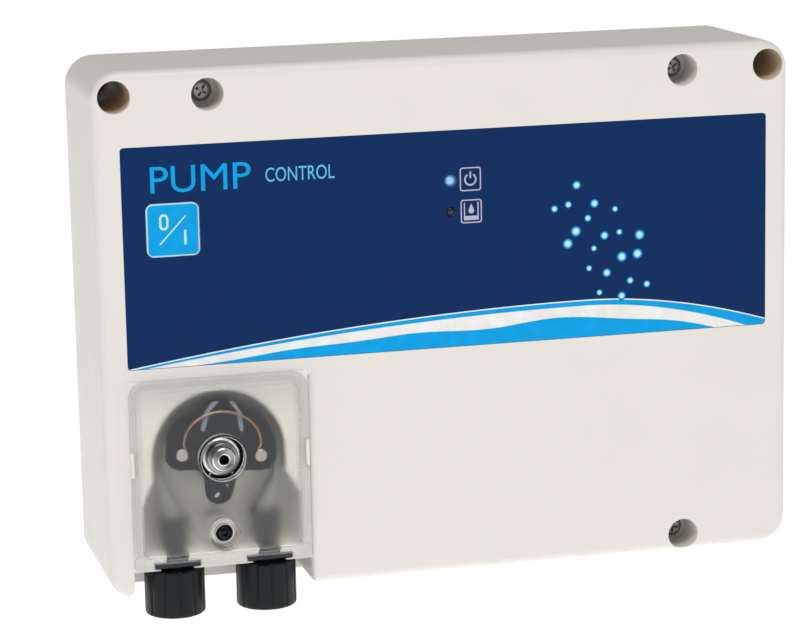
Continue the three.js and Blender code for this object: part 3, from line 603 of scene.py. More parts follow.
housing_cream = plastic("housing_cream", linear(226, 222, 215), 0.4, variation=0.008)
plate_cream = plastic("plate_cream", linear(222, 219, 212), 0.55, variation=0.01)
# Painted shade: a darker, warmer cream on the walls of the two wall-screw holes, standing in for the shade
# deep in them.
wall_hole_painted_shade = plastic("wall_hole_painted_shade", linear(214, 195, 172), 0.5, variation=0.02)
base_cream = plastic("base_cream", linear(234, 231, 223), 0.45, grain_depth=0.006)
film = printed_film("label_film", 0.42)
key_film = printed_film("key_film", 0.38)
clear = clear_plastic("cover_clear", linear(242, 242, 241), 0.08, 0.12, 0.01)
clear_textured = clear_plastic("cover_clear_textured", linear(244, 244, 242), 0.3, 0.65, 0.015)
clear_wall = shell_plastic("cover_wall", linear(196, 197, 194), 0.25, 0.1, 0.5)
# Painted highlight: a hazy, paler clear plastic on the rounded rim of the hub's opening, which shows as a
# light ring.
clear_rim = clear_plastic("cover_rim", linear(238, 238, 236), 0.3, 0.3, 0.5)
slate = plastic("rotor_slate", linear(14, 20, 29), 0.42, grain_mm=0.5, variation=0.06, specular=0.22)
# Painted highlight: a light grey on the two slopes beside the upper guide arm, where they catch the light.
slate_highlight_strip = plastic("rotor_painted_highlight_strip", linear(148, 152, 164), 0.35, variation=0.05)
# Painted highlight: a near white on the lower arm's long sides; the floor of the mark takes the same light
# tone.
slate_highlight_and_mark = plastic("rotor_painted_highlight_and_mark", linear(198, 200, 205), 0.35, variation=0.05)
# Painted shade: near black, put on the groove round the hub, the sloped tip of the upper arm and the hole in
# the hub's nose.
painted_shade_dark = plastic("painted_shade_dark", linear(8, 9, 10), 0.6, variation=0.2, specular=0.1)
connector_slate = plastic("connector_slate", linear(40, 43, 48), 0.4, variation=0.06, specular=0.3)
nut_black = plastic("nut_black", linear(13, 18, 21), 0.4, grain_mm=0.4, grain_depth=0.01, variation=0.12,
                    specular=0.22)
# Painted shade: the tube is dark from just above the rotor's axis up, and pale in its legs below.
tube_rubber = tube_elastomer("tube_rubber", linear(96, 99, 98), linear(140, 140, 136),
                             HEAD_Z - 11, HEAD_Z + 1)
seal_rubber = plastic("seal_rubber", linear(44, 45, 46), 0.7, grain_mm=0.3, variation=0.1)
acetal = plastic("acetal_white", linear(232, 231, 226), 0.35, grain_depth=0.004)
moulded_black = plastic("component_black", linear(30, 31, 33), 0.5, grain_mm=0.25, variation=0.15)
screw_steel = metal("screw_steel", linear(150, 152, 145), 0.38, wear=0.16)
pin_steel = metal("pin_steel", linear(186, 178, 176), 0.5)
sheet_steel = metal("sheet_steel", linear(176, 178, 180), 0.35, brushing=(1, 0.05, 1))
black_steel = metal("screw_black", linear(40, 41, 43), 0.22, wear=0.2)
nose_steel = turned_metal("nose_steel", linear(140, 141, 142), 0.3, HEAD_X, HEAD_Z)
# Painted highlight: a near white steel on the three rims of the hub's nose.
rim_highlight_steel = turned_metal("rim_highlight_steel", linear(232, 232, 230), 0.3, HEAD_X, HEAD_Z)
# Painted shade: a darker steel on the step in the hub's nose.
step_shade_steel = metal("step_shade_steel", linear(96, 96, 94), 0.45, wear=0.3)
bronze = metal("bush_bronze", linear(150, 118, 74), 0.42, wear=0.15)
spring_bronze = metal("spring_bronze", linear(158, 134, 112), 0.42, wear=0.15)
magnet_dark = metal("magnet_dark", linear(70, 70, 72), 0.5, wear=0.2)
core_dark = metal("transformer_core", linear(86, 86, 90), 0.5, brushing=(1, 1, 12), wear=0.2)
copper_winding = winding("copper_winding", linear(190, 104, 60))
board_green = circuit_board("board_green")
lamp_lit = lamp_lens("lamp_lit", linear(140, 192, 240), 0.4)
lamp_dark = lamp_lens("lamp_dark", linear(30, 33, 38), 0)


# ---------- camera, stage and light

def place_camera():
    """The camera stands to the left of the pump, above it, and looks down at it."""
    place = Vector((-257.80, -974.61, 191.46)) * MM
    yaw, pitch, roll = 0.2548, 0.1968, -0.0202
    forward = Vector((math.sin(yaw) * math.cos(pitch), math.cos(yaw) * math.cos(pitch), -math.sin(pitch)))
    level = Vector((math.cos(yaw), -math.sin(yaw), 0))
    upright = level.cross(forward)
    side = math.cos(roll) * level + math.sin(roll) * upright
    up = -math.sin(roll) * level + math.cos(roll) * upright
    data = bpy.data.cameras.new("camera")
    data.sensor_width, data.lens, data.clip_end = 36, 133.52, 30
    camera = added("camera", data)
    camera.matrix_world = Matrix.Translation(place) @ Matrix((side, up, -forward)).transposed().to_4x4()
    scene.camera = camera


def key_light():
    """A soft lamp above the pump and in front of it, aimed at its middle."""
    place = Vector((-0.2, -1.05, 1.75))
    data = bpy.data.lights.new("key", "AREA")
    data.shape, data.size, data.size_y, data.energy = "RECTANGLE", 1.1, 0.9, 21
    light = added("key", data)
    light.location = place
    light.rotation_mode = "QUATERNION"
    light.rotation_quaternion = (-place).to_track_quat("-Z", "Y")


def set_stage():
    """A plain pale floor under the pump and a pale surround."""
    n = Nodes("floor_paper")
    tone = n.ramp(n.noise(300, 2), linear(250, 250, 250), linear(254, 254, 254))
    paper = n.shade({"Base Color": tone, "Emission Color": tone, "Roughness": 0.9, "Emission Strength": 0.68})
    size, drop = 9, 0.13
    corners = [(x * size, y * size, -drop) for x, y in ((-1, -1), (1, -1), (1, 1), (-1, 1))]
    mesh = bpy.data.meshes.new("floor")
    mesh.from_pydata(corners, [], [(0, 1, 2, 3)])
    mesh.materials.append(paper)
    added("floor", mesh)
    world = bpy.data.worlds.new("surround")
    scene.world = world
    world.use_nodes = True
    background = world.node_tree.nodes["Background"].inputs
    background["Color"].default_value = (1, 1, 1, 1)
    background["Strength"].default_value = 0.3
    scene.view_settings.view_transform = "Standard"


place_camera()
set_stage()
key_light()


# ---------- front housing

NOTCH_HALF = 29.6
NOTCH_TOP = HEAD_Z + 26.5
NOTCH_FLOOR = -32.6
CORNER_R = 9.5
FRONT_EDGE_R = 3.2
WALL = 3
REBATE_FRONT = -4.2


def housing_outline(inset=0):
    return rounded_rect(LEFT + inset, RIGHT - inset, BOTTOM + inset, TOP - inset, CORNER_R - inset, 16)


def label_outline(inset, steps):
    low, high = LABEL_LOW, LABEL_HIGH
    return rounded_rect(low[0] + inset, high[0] - inset, low[2] + inset, high[2] - inset, 1.2, steps)


def key_square(half, radius, steps):
    return boxed(KEY_X, KEY_Z, half, half, radius, steps)


def notch_outline(left, top):
    """The notch for the pump head: its lower corners are rounded outwards into the housing's underside."""
    right = HEAD_X + NOTCH_HALF
    toe, small_toe = 4.5, 2.5
    points = [(right, top), (left, top)]
    points += arc(left - toe, BOTTOM + toe, toe, 0, -90, 10)
    points += [(left - toe, BOTTOM - 5), (right + small_toe, BOTTOM - 5)]
    points += arc(right + small_toe, BOTTOM + small_toe, small_toe, 270, 180, 8)
    return offsettable(points)


def front_housing():
    """The shallow shell with the notch for the pump head, the screw wells and the label's recess."""
    edge = round_edge(FRONT, FRONT_EDGE_R, 10)
    shell = prism(housing_outline(), edge + [(0, -0.3), (0.3, 0)])
    hollow = plain_prism(housing_outline(WALL), FRONT + WALL, 1)
    rebate_inset, notch_wall_back, sleeve_back = 1.6, -30.2, REBATE_FRONT - 0.1
    rebate = plain_prism(housing_outline(rebate_inset), REBATE_FRONT, 1)
    left, right = HEAD_X - NOTCH_HALF - WALL, HEAD_X + NOTCH_HALF + WALL
    notch_room = rounded_rect(LEFT + 0.5, right, BOTTOM + 0.5, NOTCH_TOP + WALL, 9, 8)
    left_room = rounded_rect(LEFT + 9, left, BOTTOM + 9, TOP, 0.5, 2)
    notch_wall = cut(
        plain_prism(notch_room, FRONT + 1, notch_wall_back), plain_prism(left_room, FRONT + WALL, 1))
    sleeves = [rod(x, z, SLEEVE_R, FRONT + 1, sleeve_back) for x, z in WALL_HOLES]
    towers = [rod(x, z, SLEEVE_R, FRONT + 1, WELL_FLOOR + WALL) for x, _, z in LID_SCREWS]
    body = joined(cut(shell, hollow, rebate), notch_wall, *sleeves, *towers)
    around = rounded_rect(LEFT - 20, RIGHT + 20, BOTTOM - 20, TOP + 20, 1, 2)
    outside = cut(plain_prism(around, FRONT - 5, 5), prism(housing_outline(), edge + [(0, 6)]))
    mouth = round_mouth(FRONT, 0.45)
    notch = notch_outline(HEAD_X - NOTCH_HALF, NOTCH_TOP)
    side_edge = 2.4
    notch_side = notch_outline(HEAD_X, NOTCH_TOP - side_edge - 0.2)
    cutters = [
        outside,
        prism(notch, round_mouth(FRONT, 0.15) + [(0, NOTCH_FLOOR)]),
        prism(notch_side, round_mouth(FRONT, side_edge, 8) + [(0, NOTCH_FLOOR)]),
    ]
    for x, z in WALL_HOLES:
        well = prism(circle(x, z, WELL_R), mouth + [(0, WALL_HOLE_SEAT)])
        cutters += [well, rod(x, z, WALL_SCREW_R, FRONT - 1, 1)]
    screw_hole_r, post_room_r, lamp_hole_r, shaft_hole_r, grommet_r = 2.3, 4.7, 1.8, 5.6, 6.5
    for x, _, z in LID_SCREWS:
        well = prism(circle(x, z, WELL_R), mouth + [(0, WELL_FLOOR)])
        post_room = rod(x, z, post_room_r, WELL_FLOOR + WALL, REBATE_FRONT)
        cutters += [well, rod(x, z, screw_hole_r, FRONT, 1), post_room]
    ahead, behind = FRONT - 1, FRONT + WALL + 1
    cutters += [
        prism(label_outline(-0.03, 6), round_mouth(FRONT, 0.15, 3) + [(0, FRONT + 0.5)]),
        plain_prism(key_square(KEY_HALF + KEY_GAP, 2.4, 6), ahead, behind),
        *(rod(x, z, lamp_hole_r, ahead, behind, 32) for x, _, z in LEDS.values()),
        rod(HEAD_X, HEAD_Z, shaft_hole_r, NOTCH_FLOOR - 1, 1),
    ]
    cutters += [turned(washer(0, grommet_r, -2, 5), "Z", (x, y, BOTTOM)) for x, y, _ in GROMMETS.values()]
    return cut(body, *cutters)


# Faces on the walls of the wall-screw holes, which get the painted shade.
def in_wall_hole(x, y, z):
    return FRONT + 0.5 < y and any(math.hypot(x - hx, z - hz) < WELL_R + 0.02 for hx, hz in WALL_HOLES)


piece("housing_moulding", front_housing(), housing_cream, "housing", "housing_cream", "front_housing",
      others=[(wall_hole_painted_shade, in_wall_hole)])


def back_plate():
    """The flat plate on the wall, with the posts that the lid screws bite into."""
    plate = prism(housing_outline(1.9), [(0, -3), (0, -0.5), (0.15, -0.15), (0.5, 0)])
    shoulder = REBATE_FRONT - 0.2
    posts = [rod(x, z, 4.4, WELL_FLOOR + WALL + 0.2, shoulder) for x, _, z in LID_SCREWS]
    posts += [rod(x, z, 3.6, shoulder - 1, -1) for x, _, z in LID_SCREWS]
    cutters = [rod(x, z, 1.9, FRONT, -20, 24) for x, _, z in LID_SCREWS]
    narrow, wide = WALL_SCREW_R, WALL_SCREW_R + 0.6
    flare = [(0, -4), (narrow, -4), (narrow, -0.6), (wide, 0), (wide, 1), (0, 1)]
    cutters += [turned(flare, "Y", (x, 0, z)) for x, z in WALL_HOLES]
    return cut(joined(plate, *posts), *cutters)


piece("back_plate_moulding", back_plate(), plate_cream, "housing", "housing_cream", "back_plate")


# ---------- screws

def cross_recess(x, y, z, angle):
    """A tapered cross that a screwdriver fits."""
    reach, half, depth = 2.1, 0.42, 1.1
    bars = []
    for turn in (angle, angle + math.pi / 2):
        loops = []
        for level, scale in ((y - 0.5, 1.06), (y, 1.0), (y + depth, 0.45)):
            a, b = reach * scale, half * (0.5 + 0.5 * scale)
            corners = turned_outline([(a, b), (-a, b), (-a, -b), (a, -b)], turn, x, z)
            loops.append([(px, level, pz) for px, pz in corners])
        bars.append(bridged(loops))
    return bars


def lid_screw(i, angle):
    """A pan-head screw along Y with a cross recess, as long as its CAD node."""
    node = f"lid_screw_{i}"
    front, back = span_mm(node)
    x, _, z = LID_SCREWS[i - 1]
    head_r, shank_r, seat = 3.6, 1.75, front + LID_HEAD
    profile = softened([
        (0, front), (head_r * 0.7, front + 0.08), (head_r, front + LID_HEAD / 2), (head_r, seat),
        (shank_r, seat), (shank_r, back), (0, back),
    ], 0.4)
    mesh = cut(turned(profile, "Y", (x, 0, z), 40), *cross_recess(x, front, z, angle))
    piece(f"lid_screw_turned_{i}", mesh, screw_steel, "housing", "steel_bright", node, sharp=28)


for i, angle in ((1, 0.5), (2, 1.1), (3, 0.2)):
    lid_screw(i, angle)


# ---------- printed film: label and key

def segments_of(points):
    """The closed outline's sides, as rows of x, z, x, z."""
    ring = np.array(points, float)
    return np.hstack([ring, np.roll(ring, -1, axis=0)])


def inside(points, segments):
    """Which points lie inside the sides, by the even-odd rule."""
    x, z = points[:, 0:1], points[:, 1:2]
    x1, z1, x2, z2 = (segments[:, k][None, :] for k in range(4))
    spans = (z1 > z) != (z2 > z)
    rise = np.where(z2 == z1, 1, z2 - z1)
    return ((spans & (x < (x2 - x1) * (z - z1) / rise + x1)).sum(axis=1) % 2).astype(bool)


def printed_sheet(outline, holes, regions, glows, ground, front, back, rim):
    """A sheet with its front face split along the print's edges and coloured corner by corner.

    regions are (sides, colour), painted in order. glows are (x, z, radius) dots with a bright middle.
    """
    sides = [segments_of(outline)] + [segments_of(h) for h in holes] + [s for s, _ in regions]
    glow_rings = (0.42, 0.72, 1.0)
    for x, z, radius in glows:
        sides += [segments_of(circle(x, z, radius * part, 20)()) for part in glow_rings]
    every = np.vstack(sides)
    points = [Vector(p) for p in np.vstack([every[:, :2], every[:, 2:]])]
    edges = [(i, i + len(every)) for i in range(len(every))]
    corners, _, triangles = delaunay_2d_cdt(points, edges, [], 0, 1e-4)[:3]
    flat = np.array([tuple(c) for c in corners])
    tris = np.array([t for t in triangles if len(t) == 3])
    middles = flat[tris].mean(axis=1)
    kept = inside(middles, segments_of(outline))
    for hole in holes:
        kept &= ~inside(middles, segments_of(hole))
    tris, middles = tris[kept], middles[kept]
    colours = np.tile(np.array(ground, float), (len(tris), 3, 1))
    for side, colour in regions:
        colours[inside(middles, side)] = colour
    stops = [0, *glow_rings]
    tones = np.array([linear(250, 252, 255), linear(196, 232, 248), CYAN, linear(12, 92, 158)])
    for x, z, radius in glows:
        lit = np.hypot(middles[:, 0] - x, middles[:, 1] - z) < radius * 0.97
        reach = np.hypot(flat[tris[lit]][..., 0] - x, flat[tris[lit]][..., 1] - z) / radius
        for channel in range(3):
            colours[lit, :, channel] = np.interp(reach, stops, tones[:, channel])
    return raised_sheet(flat, tris, colours, ground, front, back, rim)


def raised_sheet(flat, tris, colours, ground, front, back, rim):
    """Gives a coloured flat triangulation its rounded rim, sides and back."""
    a, b, c = flat[tris[:, 0]], flat[tris[:, 1]], flat[tris[:, 2]]
    ab, ac = b - a, c - a
    flipped = ab[:, 0] * ac[:, 1] - ab[:, 1] * ac[:, 0] < 0
    tris[flipped] = tris[flipped][:, ::-1]
    colours[flipped] = colours[flipped][:, ::-1]
    sides = dict.fromkeys((int(tri[k]), int(tri[(k + 1) % 3])) for tri in tris for k in range(3))
    border = [side for side in sides if side[::-1] not in sides]
    push = np.zeros_like(flat)
    for i, j in border:
        along = (flat[j] - flat[i]) / max(np.linalg.norm(flat[j] - flat[i]), 1e-9)
        for k in (i, j):
            push[k] += (along[1], -along[0])
    length = np.linalg.norm(push, axis=1)
    push[length > 0] /= length[length > 0][:, None]
    outer = flat + push * rim
    count = len(flat)
    points = [(x, front, z) for x, z in flat]
    points += [(x, front + rim, z) for x, z in outer] + [(x, back, z) for x, z in outer]
    faces, paint = [], []
    for tri, tone in zip(tris, colours):
        faces.append(tuple(int(v) for v in tri))
        paint += [tuple(t) for t in tone]
    for i, j in border:
        for low, high in ((0, count), (count, 2 * count)):
            faces.append((j + low, i + low, i + high, j + high))
            paint += [tuple(ground)] * 4
    for tri in tris:
        faces.append(tuple(int(v) + 2 * count for v in tri[::-1]))
        paint += [tuple(ground)] * 3
    mesh = bpy.data.meshes.new("sheet")
    mesh.from_pydata(points, [], faces)
    layer = mesh.color_attributes.new("print", "FLOAT_COLOR", "CORNER")
    layer.data.foreach_set("color", np.array(paint, np.float32).ravel())
    loose = bmesh.new()
    loose.from_mesh(mesh)
    bmesh.ops.delete(loose, geom=[v for v in loose.verts if not v.link_faces], context="VERTS")
    loose.to_mesh(mesh)
    loose.free()
    return mesh


def ring(points_out, points_in):
    """The sides of the area between two outlines."""
    return np.vstack([segments_of(points_out), segments_of(points_in)])


def bar(x1, z1, x2, z2, half):
    """A straight stroke."""
    along = Vector((x2 - x1, z2 - z1)).normalized() * half
    side = Vector((-along.y, along.x))
    start, end = Vector((x1, z1)), Vector((x2, z2))
    return [tuple(p) for p in (start + side, start - side, end - side, end + side)]


def lettering(text, x, z, size, stretch):
    """The sides of plain capital letters, from their lower left corner."""
    data = bpy.data.curves.new("text", "FONT")
    data.body = text
    data.size = size
    data.resolution_u = 4
    obj = added("text", data)
    evaluated = obj.evaluated_get(bpy.context.evaluated_depsgraph_get())
    mesh = bpy.data.meshes.new_from_object(evaluated)
    work = bmesh.new()
    work.from_mesh(mesh)
    bmesh.ops.remove_doubles(work, verts=work.verts, dist=1e-4)
    outer = [edge for edge in work.edges if edge.is_boundary]
    rows = [[c for v in edge.verts for c in (x + v.co.x * stretch, z + v.co.y)] for edge in outer]
    work.free()
    bpy.data.objects.remove(obj)
    return np.array(rows)


def power_icon(x, z):
    """A broken ring with a bar."""
    broken = arc(x, z - 0.1, 2.1, 122, 418, 30) + arc(x, z - 0.1, 1.55, 418, 122, 30)
    return [segments_of(broken), segments_of(bar(x, z + 0.3, x, z + 2.5, 0.28))]


def level_icon(x, z):
    """A tank with a low level and a drop falling into it."""
    tank = [(x - 2.5, z + 2.9), (x - 2.5, z - 2.9), (x + 2.5, z - 2.9), (x + 2.5, z + 2.9),
            (x + 2.1, z + 2.9), (x + 2.1, z - 1.5), (x - 2.1, z - 1.5), (x - 2.1, z + 2.9)]
    drop = arc(x, z + 0.2, 0.95, 160, 380, 14) + [(x, z + 2.6)]
    return [segments_of(tank), segments_of(drop)]


def label_regions():
    """The print of the label: a swell of water at the foot, two icons and plain lettering, with a painted
    glow round the lit lamp.
    """
    left, right, foot = LABEL_LOW[0] - 2, LABEL_HIGH[0] + 2, LABEL_LOW[2] - 3
    crest_x, crest_z = 46, 2.9
    span_left, span_right = crest_x - LABEL_LOW[0], LABEL_HIGH[0] - crest_x
    fall_left, fall_right = 12.4, 10.6
    xs = list(np.linspace(left, right, 90))

    def reach(x):
        return (crest_x - x) / span_left if x < crest_x else (x - crest_x) / span_right

    def swell(x):
        return crest_z - (fall_left if x < crest_x else fall_right) * reach(x) ** 1.9

    def fullness(x):
        return max(0.0, 1 - reach(x) ** 1.6) if x < crest_x else 1 - 0.55 * reach(x) ** 2

    def ebb(x):
        return 3.2 * reach(x) ** 2 if x > crest_x else 0

    def water(x):
        ripple = 0.55 * math.sin(x / 7.3) + 0.45 * math.sin(x / 12.1 + 1.3)
        return swell(x) - 2.3 - (4.0 + ripple) * fullness(x) - ebb(x)

    def down_from(curve):
        return segments_of([(x, curve(x)) for x in xs] + [(x, foot) for x in reversed(xs)])

    regions = [
        (down_from(swell), PRINT_WHITE),
        (down_from(lambda x: swell(x) - 0.4), CYAN),
        (down_from(lambda x: swell(x) - 0.4 - 1.6 * (0.35 + 0.65 * fullness(x)) - ebb(x)), PRINT_WHITE),
        (down_from(water), CYAN),
    ]
    for (x, z), icon in (((6.35, 45.6), power_icon), ((6.5, 35.0), level_icon)):
        regions.append((ring(boxed(x, z, 3.6, 3.9, 0.9, 5)(), boxed(x, z, 3.2, 3.5, 0.6, 5)()), ICON_TONE))
        regions += [(sides, ICON_TONE) for sides in icon(x, z)]
    regions.append((lettering("PUMP", -100, 47, 12.4, 1.08), CYAN))
    regions.append((lettering("CONTROL", -62, 48.6, 6.6, 0.72), PALE_BLUE))
    # Painted glow: rings of lighter blue on the navy round the lit lamp, standing in for its light on the
    # label.
    lamp_x, _, lamp_z = LEDS["led_power"]
    for radius, tone in ((2.2, (18, 62, 112)), (2.0, (38, 90, 142)), (1.85, (70, 128, 178))):
        regions.append((segments_of(circle(lamp_x, lamp_z, radius, 28)()), linear(*tone)))
    return regions


def bubbles():
    """Bubbles that spiral out from a middle, in four sizes."""
    count, golden_angle, sizes = 20, 137.5, (1.5, 1.1, 1.8, 1.25)
    dots = []
    for i in range(count):
        turn, reach = math.radians(golden_angle * i + 40), math.sqrt((i + 0.6) / count)
        along, across = 25 * reach * math.sin(turn), 13.5 * reach * math.cos(turn)
        x = 52 + across * 0.88 - along * 0.5
        z = 21 + along * 0.88 + across * 0.34
        dots.append((x, z, sizes[i % len(sizes)]))
    return dots


def front_label():
    rim = 0.12
    holes = [key_square(KEY_HALF + KEY_GAP + rim, 2.4, 6)()]
    holes += [circle(x, z, 1.65 + rim, 28)() for x, _, z in LEDS.values()]
    mesh = printed_sheet(label_outline(rim, 5)(), holes, label_regions(), bubbles(), NAVY,
                         LABEL_LOW[1], LABEL_HIGH[1], rim)
    piece("control_label", mesh, film, "housing", "label_navy", "front_label")


def key_button():
    """The key's cap with its 0 / I legend, its flange behind the wall and its stem."""
    legend_tone, border_tone = linear(190, 226, 246), linear(196, 222, 240)
    rim = 0.25
    half = KEY_HALF - rim
    x, z = KEY_X - 2.9, KEY_Z + 2.6
    nought = ring(boxed(x, z, 1.5, 2.6, 1.45, 8)(), boxed(x, z, 0.75, 1.85, 0.72, 8)())
    slash = segments_of(bar(KEY_X - 4.4, KEY_Z - 4.6, KEY_X + 4.2, KEY_Z + 4.4, 0.22))
    one = segments_of(bar(KEY_X + 3.9, KEY_Z - 4.9, KEY_X + 3.9, KEY_Z - 0.2, 0.38))
    regions = [(segments_of(key_square(half - 0.22, 1.6, 8)()), CYAN)]
    regions += [(sides, legend_tone) for sides in (nought, slash, one)]
    front, back = span_mm("key_button")
    inner_wall = FRONT + WALL
    cap_outline = key_square(half, 2.1, 8)()
    cap = printed_sheet(cap_outline, [], regions, [], border_tone, front, inner_wall + 0.8, rim)
    wide = KEY_HALF + 1.5
    flange_front, flange_back = inner_wall + 0.3, inner_wall + 1.5
    flange = block(KEY_X - wide, KEY_X + wide, flange_front, flange_back, KEY_Z - wide, KEY_Z + wide)
    stem = rod(KEY_X, KEY_Z, 2.2, inner_wall + 1, back, 32)
    for mesh in (flange, stem):
        layer = mesh.color_attributes.new("print", "FLOAT_COLOR", "CORNER")
        layer.data.foreach_set("color", np.tile(CYAN, len(layer.data)).astype(np.float32))
    piece("key_cap", side_by_side(cap, flange, stem), key_film, "key", "key_cyan", "key_button")


front_label()
key_button()


def lamp(node, material, slot):
    """A round lamp whose domed lens stands in the label's opening."""
    front, back = span_mm(node)
    x, _, z = centre_mm(node)
    profile = dome(1.5, 0.9, front, 8) + [(1.5, back - 1.2), (2.0, back - 1.2), (2.0, back), (0, back)]
    piece(f"{node}_lens", turned(profile, "Y", (x, 0, z), 32), material, "housing", slot, node)


lamp("led_power", lamp_lit, "led_lit")
lamp("led_level", lamp_dark, "led_dark")


# ---------- pump head, fixed parts

BASE_FRONT = -54.15
CHAMBER_R = 22
CHAMBER_FLOOR = -39.5
PORT_Y = PORTS["left"][1]


def chamber_outline():
    """Round over the top, and wider below for the tube's two legs."""
    start_z, end_z, half, bottom = -6.5, -14.2, 26, -31.5
    middle = -0.45
    left, right = middle - CHAMBER_R, middle + CHAMBER_R
    points = arc(middle, 0, CHAMBER_R, 0, 180, 60)
    points += [(left, start_z), (-half, end_z), (-half, bottom)]
    points += [(half, bottom), (half, end_z), (right, start_z)]
    return offsettable([(HEAD_X + x, HEAD_Z + z) for x, z in points])


def pump_base():
    """The frame with the rotor's chamber, the connectors' slots, the cover screw's post and two tabs."""
    low, high = box_mm("pump_base")
    fit = 0.1
    outline = rounded_rect(low[0] - fit, high[0] + fit, low[2], high[2] + fit, 0.3, 4)
    body = plain_prism(outline, BASE_FRONT, high[1])
    cutters = [prism(chamber_outline(), round_mouth(BASE_FRONT, 0.5) + [(0, CHAMBER_FLOOR)])]
    for x, _, _ in PORTS.values():
        for half, bottom, top in ((3.7, -34.4, -30), (7.7, -36.3, -34.1), (5.5, -40, -36)):
            slot = rounded_rect(x - half, x + half, HEAD_Z + bottom, HEAD_Z + top, 0.1, 2)
            cutters.append(plain_prism(slot, BASE_FRONT - 2, PORT_Y + half))
    cutters.append(rod(HEAD_X, HEAD_Z, 5.1, BASE_FRONT, 0))
    body = cut(body, *cutters)
    post_levels = round_edge(BASE_FRONT + 0.5, 0.4, 3) + [(0, CHAMBER_FLOOR + 0.5)]
    post = prism(circle(HEAD_X, COVER_SCREW_Z, 4.2), post_levels)
    bore = rod(HEAD_X, COVER_SCREW_Z, 1.7, BASE_FRONT - 1, CHAMBER_FLOOR, 24)
    tabs = [block(x - 0.6, x + 0.6, BASE_FRONT - 1.4, BASE_FRONT + 1, HEAD_Z - 5.1, HEAD_Z + 3.3, 0.2)
            for x in (HEAD_X - 28.8, HEAD_X + 28.8)]
    return cut(joined(body, post, *tabs), bore)


piece("base_moulding", pump_base(), base_cream, "housing", "housing_cream", "pump_base")


def tube_path():
    """Points of the squeezed tube's middle line and how flat it is there, from right to left."""
    leg = [(15.3, -25.2, 0), (15.3, -21.5, 0), (15.9, -18, 0.1), (17.4, -14, 0.45), (18.8, -9.5, 0.85),
           (19.7, -4.5, 1)]
    top = [(20 * math.cos(a), 20 * math.sin(a), 1) for a in np.linspace(0, math.pi, 33)]
    return leg + top + [(-x, z, flat) for x, z, flat in reversed(leg)]


def tube_section(point, cosine, sine):
    """Round in the legs, flat and wide where the rollers squeeze the tube."""
    flat = point[2]
    half_wide, half_thick, power = 3.2 + 0.5 * flat, 3.2 - 1.9 * flat, 1 - 0.45 * flat
    across = math.copysign(abs(sine) ** power, sine) * half_thick
    return across, math.copysign(abs(cosine) ** power, cosine) * half_wide


pump_tube = swept(tube_path(), (HEAD_X, PORT_Y, HEAD_Z), 24, tube_section)
piece("pump_tube_elastomer", pump_tube, tube_rubber, "housing", "tube_rubber", "pump_tube", sharp=60)


def connector(side):
    """The tube's socket, a flange held in the base, the thread for the nut and the hose barb."""
    x, y, _ = PORTS[side]
    profile = [
        (1.7, -47), (2.3, -47), (2.9, -45.4), (2.4, -45.2), (2.4, -44.2),
        (6.2, -44.2), (6.6, -43.8), (6.6, -37.3), (5, -37.3), (5, -36.1),
        (7.2, -36.1), (7.4, -35.9), (7.4, -34.5), (7.2, -34.3), (3.3, -34.3), (3.3, -29.6),
        (5, -28.8), (5, -20.6), (4.6, -20.2), (3.5, -20.2), (3.5, -25.6), (1.7, -25.6),
    ]
    mesh = turned(profile, "Z", (x, y, HEAD_Z), 56)
    half = 7.4
    plate = block(x - half, x + half, y - half, y + half, HEAD_Z - 36, HEAD_Z - 34.4, 0.2)
    mesh = joined(mesh, cut(plate, turned(washer(0, 3, -40, -30), "Z", (x, y, HEAD_Z), 24)))
    piece(f"connector_moulding_{side}", mesh, connector_slate, "housing", "rotor_slate", f"connector_{side}")


def grommet(i):
    """A closed cable grommet in the housing's underside."""
    x, y, _ = GROMMETS[i]
    profile = [(0, -1.2), (4.6, -1.2), (5.4, -2.4), (8.2, -2.4), (8.2, -0.05), (6.1, -0.05), (6.1, 3.05),
               (8.2, 3.05), (7.4, 5), (0, 5)]
    mesh = turned(softened([(r, BOTTOM + z) for r, z in profile], 0.5), "Z", (x, y, 0), 56)
    piece(f"grommet_moulding_{i}", mesh, seal_rubber, "housing", "seal_rubber", f"cable_grommet_{i}")


for side in PORTS:
    connector(side)
for i in GROMMETS:
    grommet(i)


# ---------- rotor

PLATE_FRONT, PLATE_BACK = span_mm("roller_holder")
NOSE_FRONT, NOSE_BACK = span_mm("hub_nose")
PIN_AT = (13, 0.6)
MARK_DEPTH = 0.12
ARM_BACK = -47
GUARD_R = 17.8


def in_rotor(points):
    """Points given from the rotor's axis, in its upright position, where they are at rest."""
    return turned_outline(points, ROTOR_TURN, HEAD_X, HEAD_Z)


def lobes_outline():
    """A lobe at each pin and the upper guide arm between them."""
    px, pz = PIN_AT
    right = arc(px, pz, 5.3, -100, -10, 10) + arc(px - 0.4, 3.4, 5.6, -10, 80, 10) + [(9, 9), (6.6, 8.5)]
    arm = [(5.9, 8.4), (4.9, 12.5), (4.3, 15.1), (1.7, 18.2), (0.3, 19)]
    upper = right + arm
    points = upper + [(-x, z) for x, z in reversed(upper)]
    points += [(-5.5, -4.6), (5.5, -4.6)]
    return offsettable(in_rotor(points))


def lower_arm_outline():
    """The lower guide arm with its round tip."""
    tip = arc(0, -11.15, 4.7, 186, 354, 18)
    return offsettable(in_rotor([(-5.8, -4), (-5.4, -7.4), *tip, (5.4, -7.4), (5.8, -4)]))


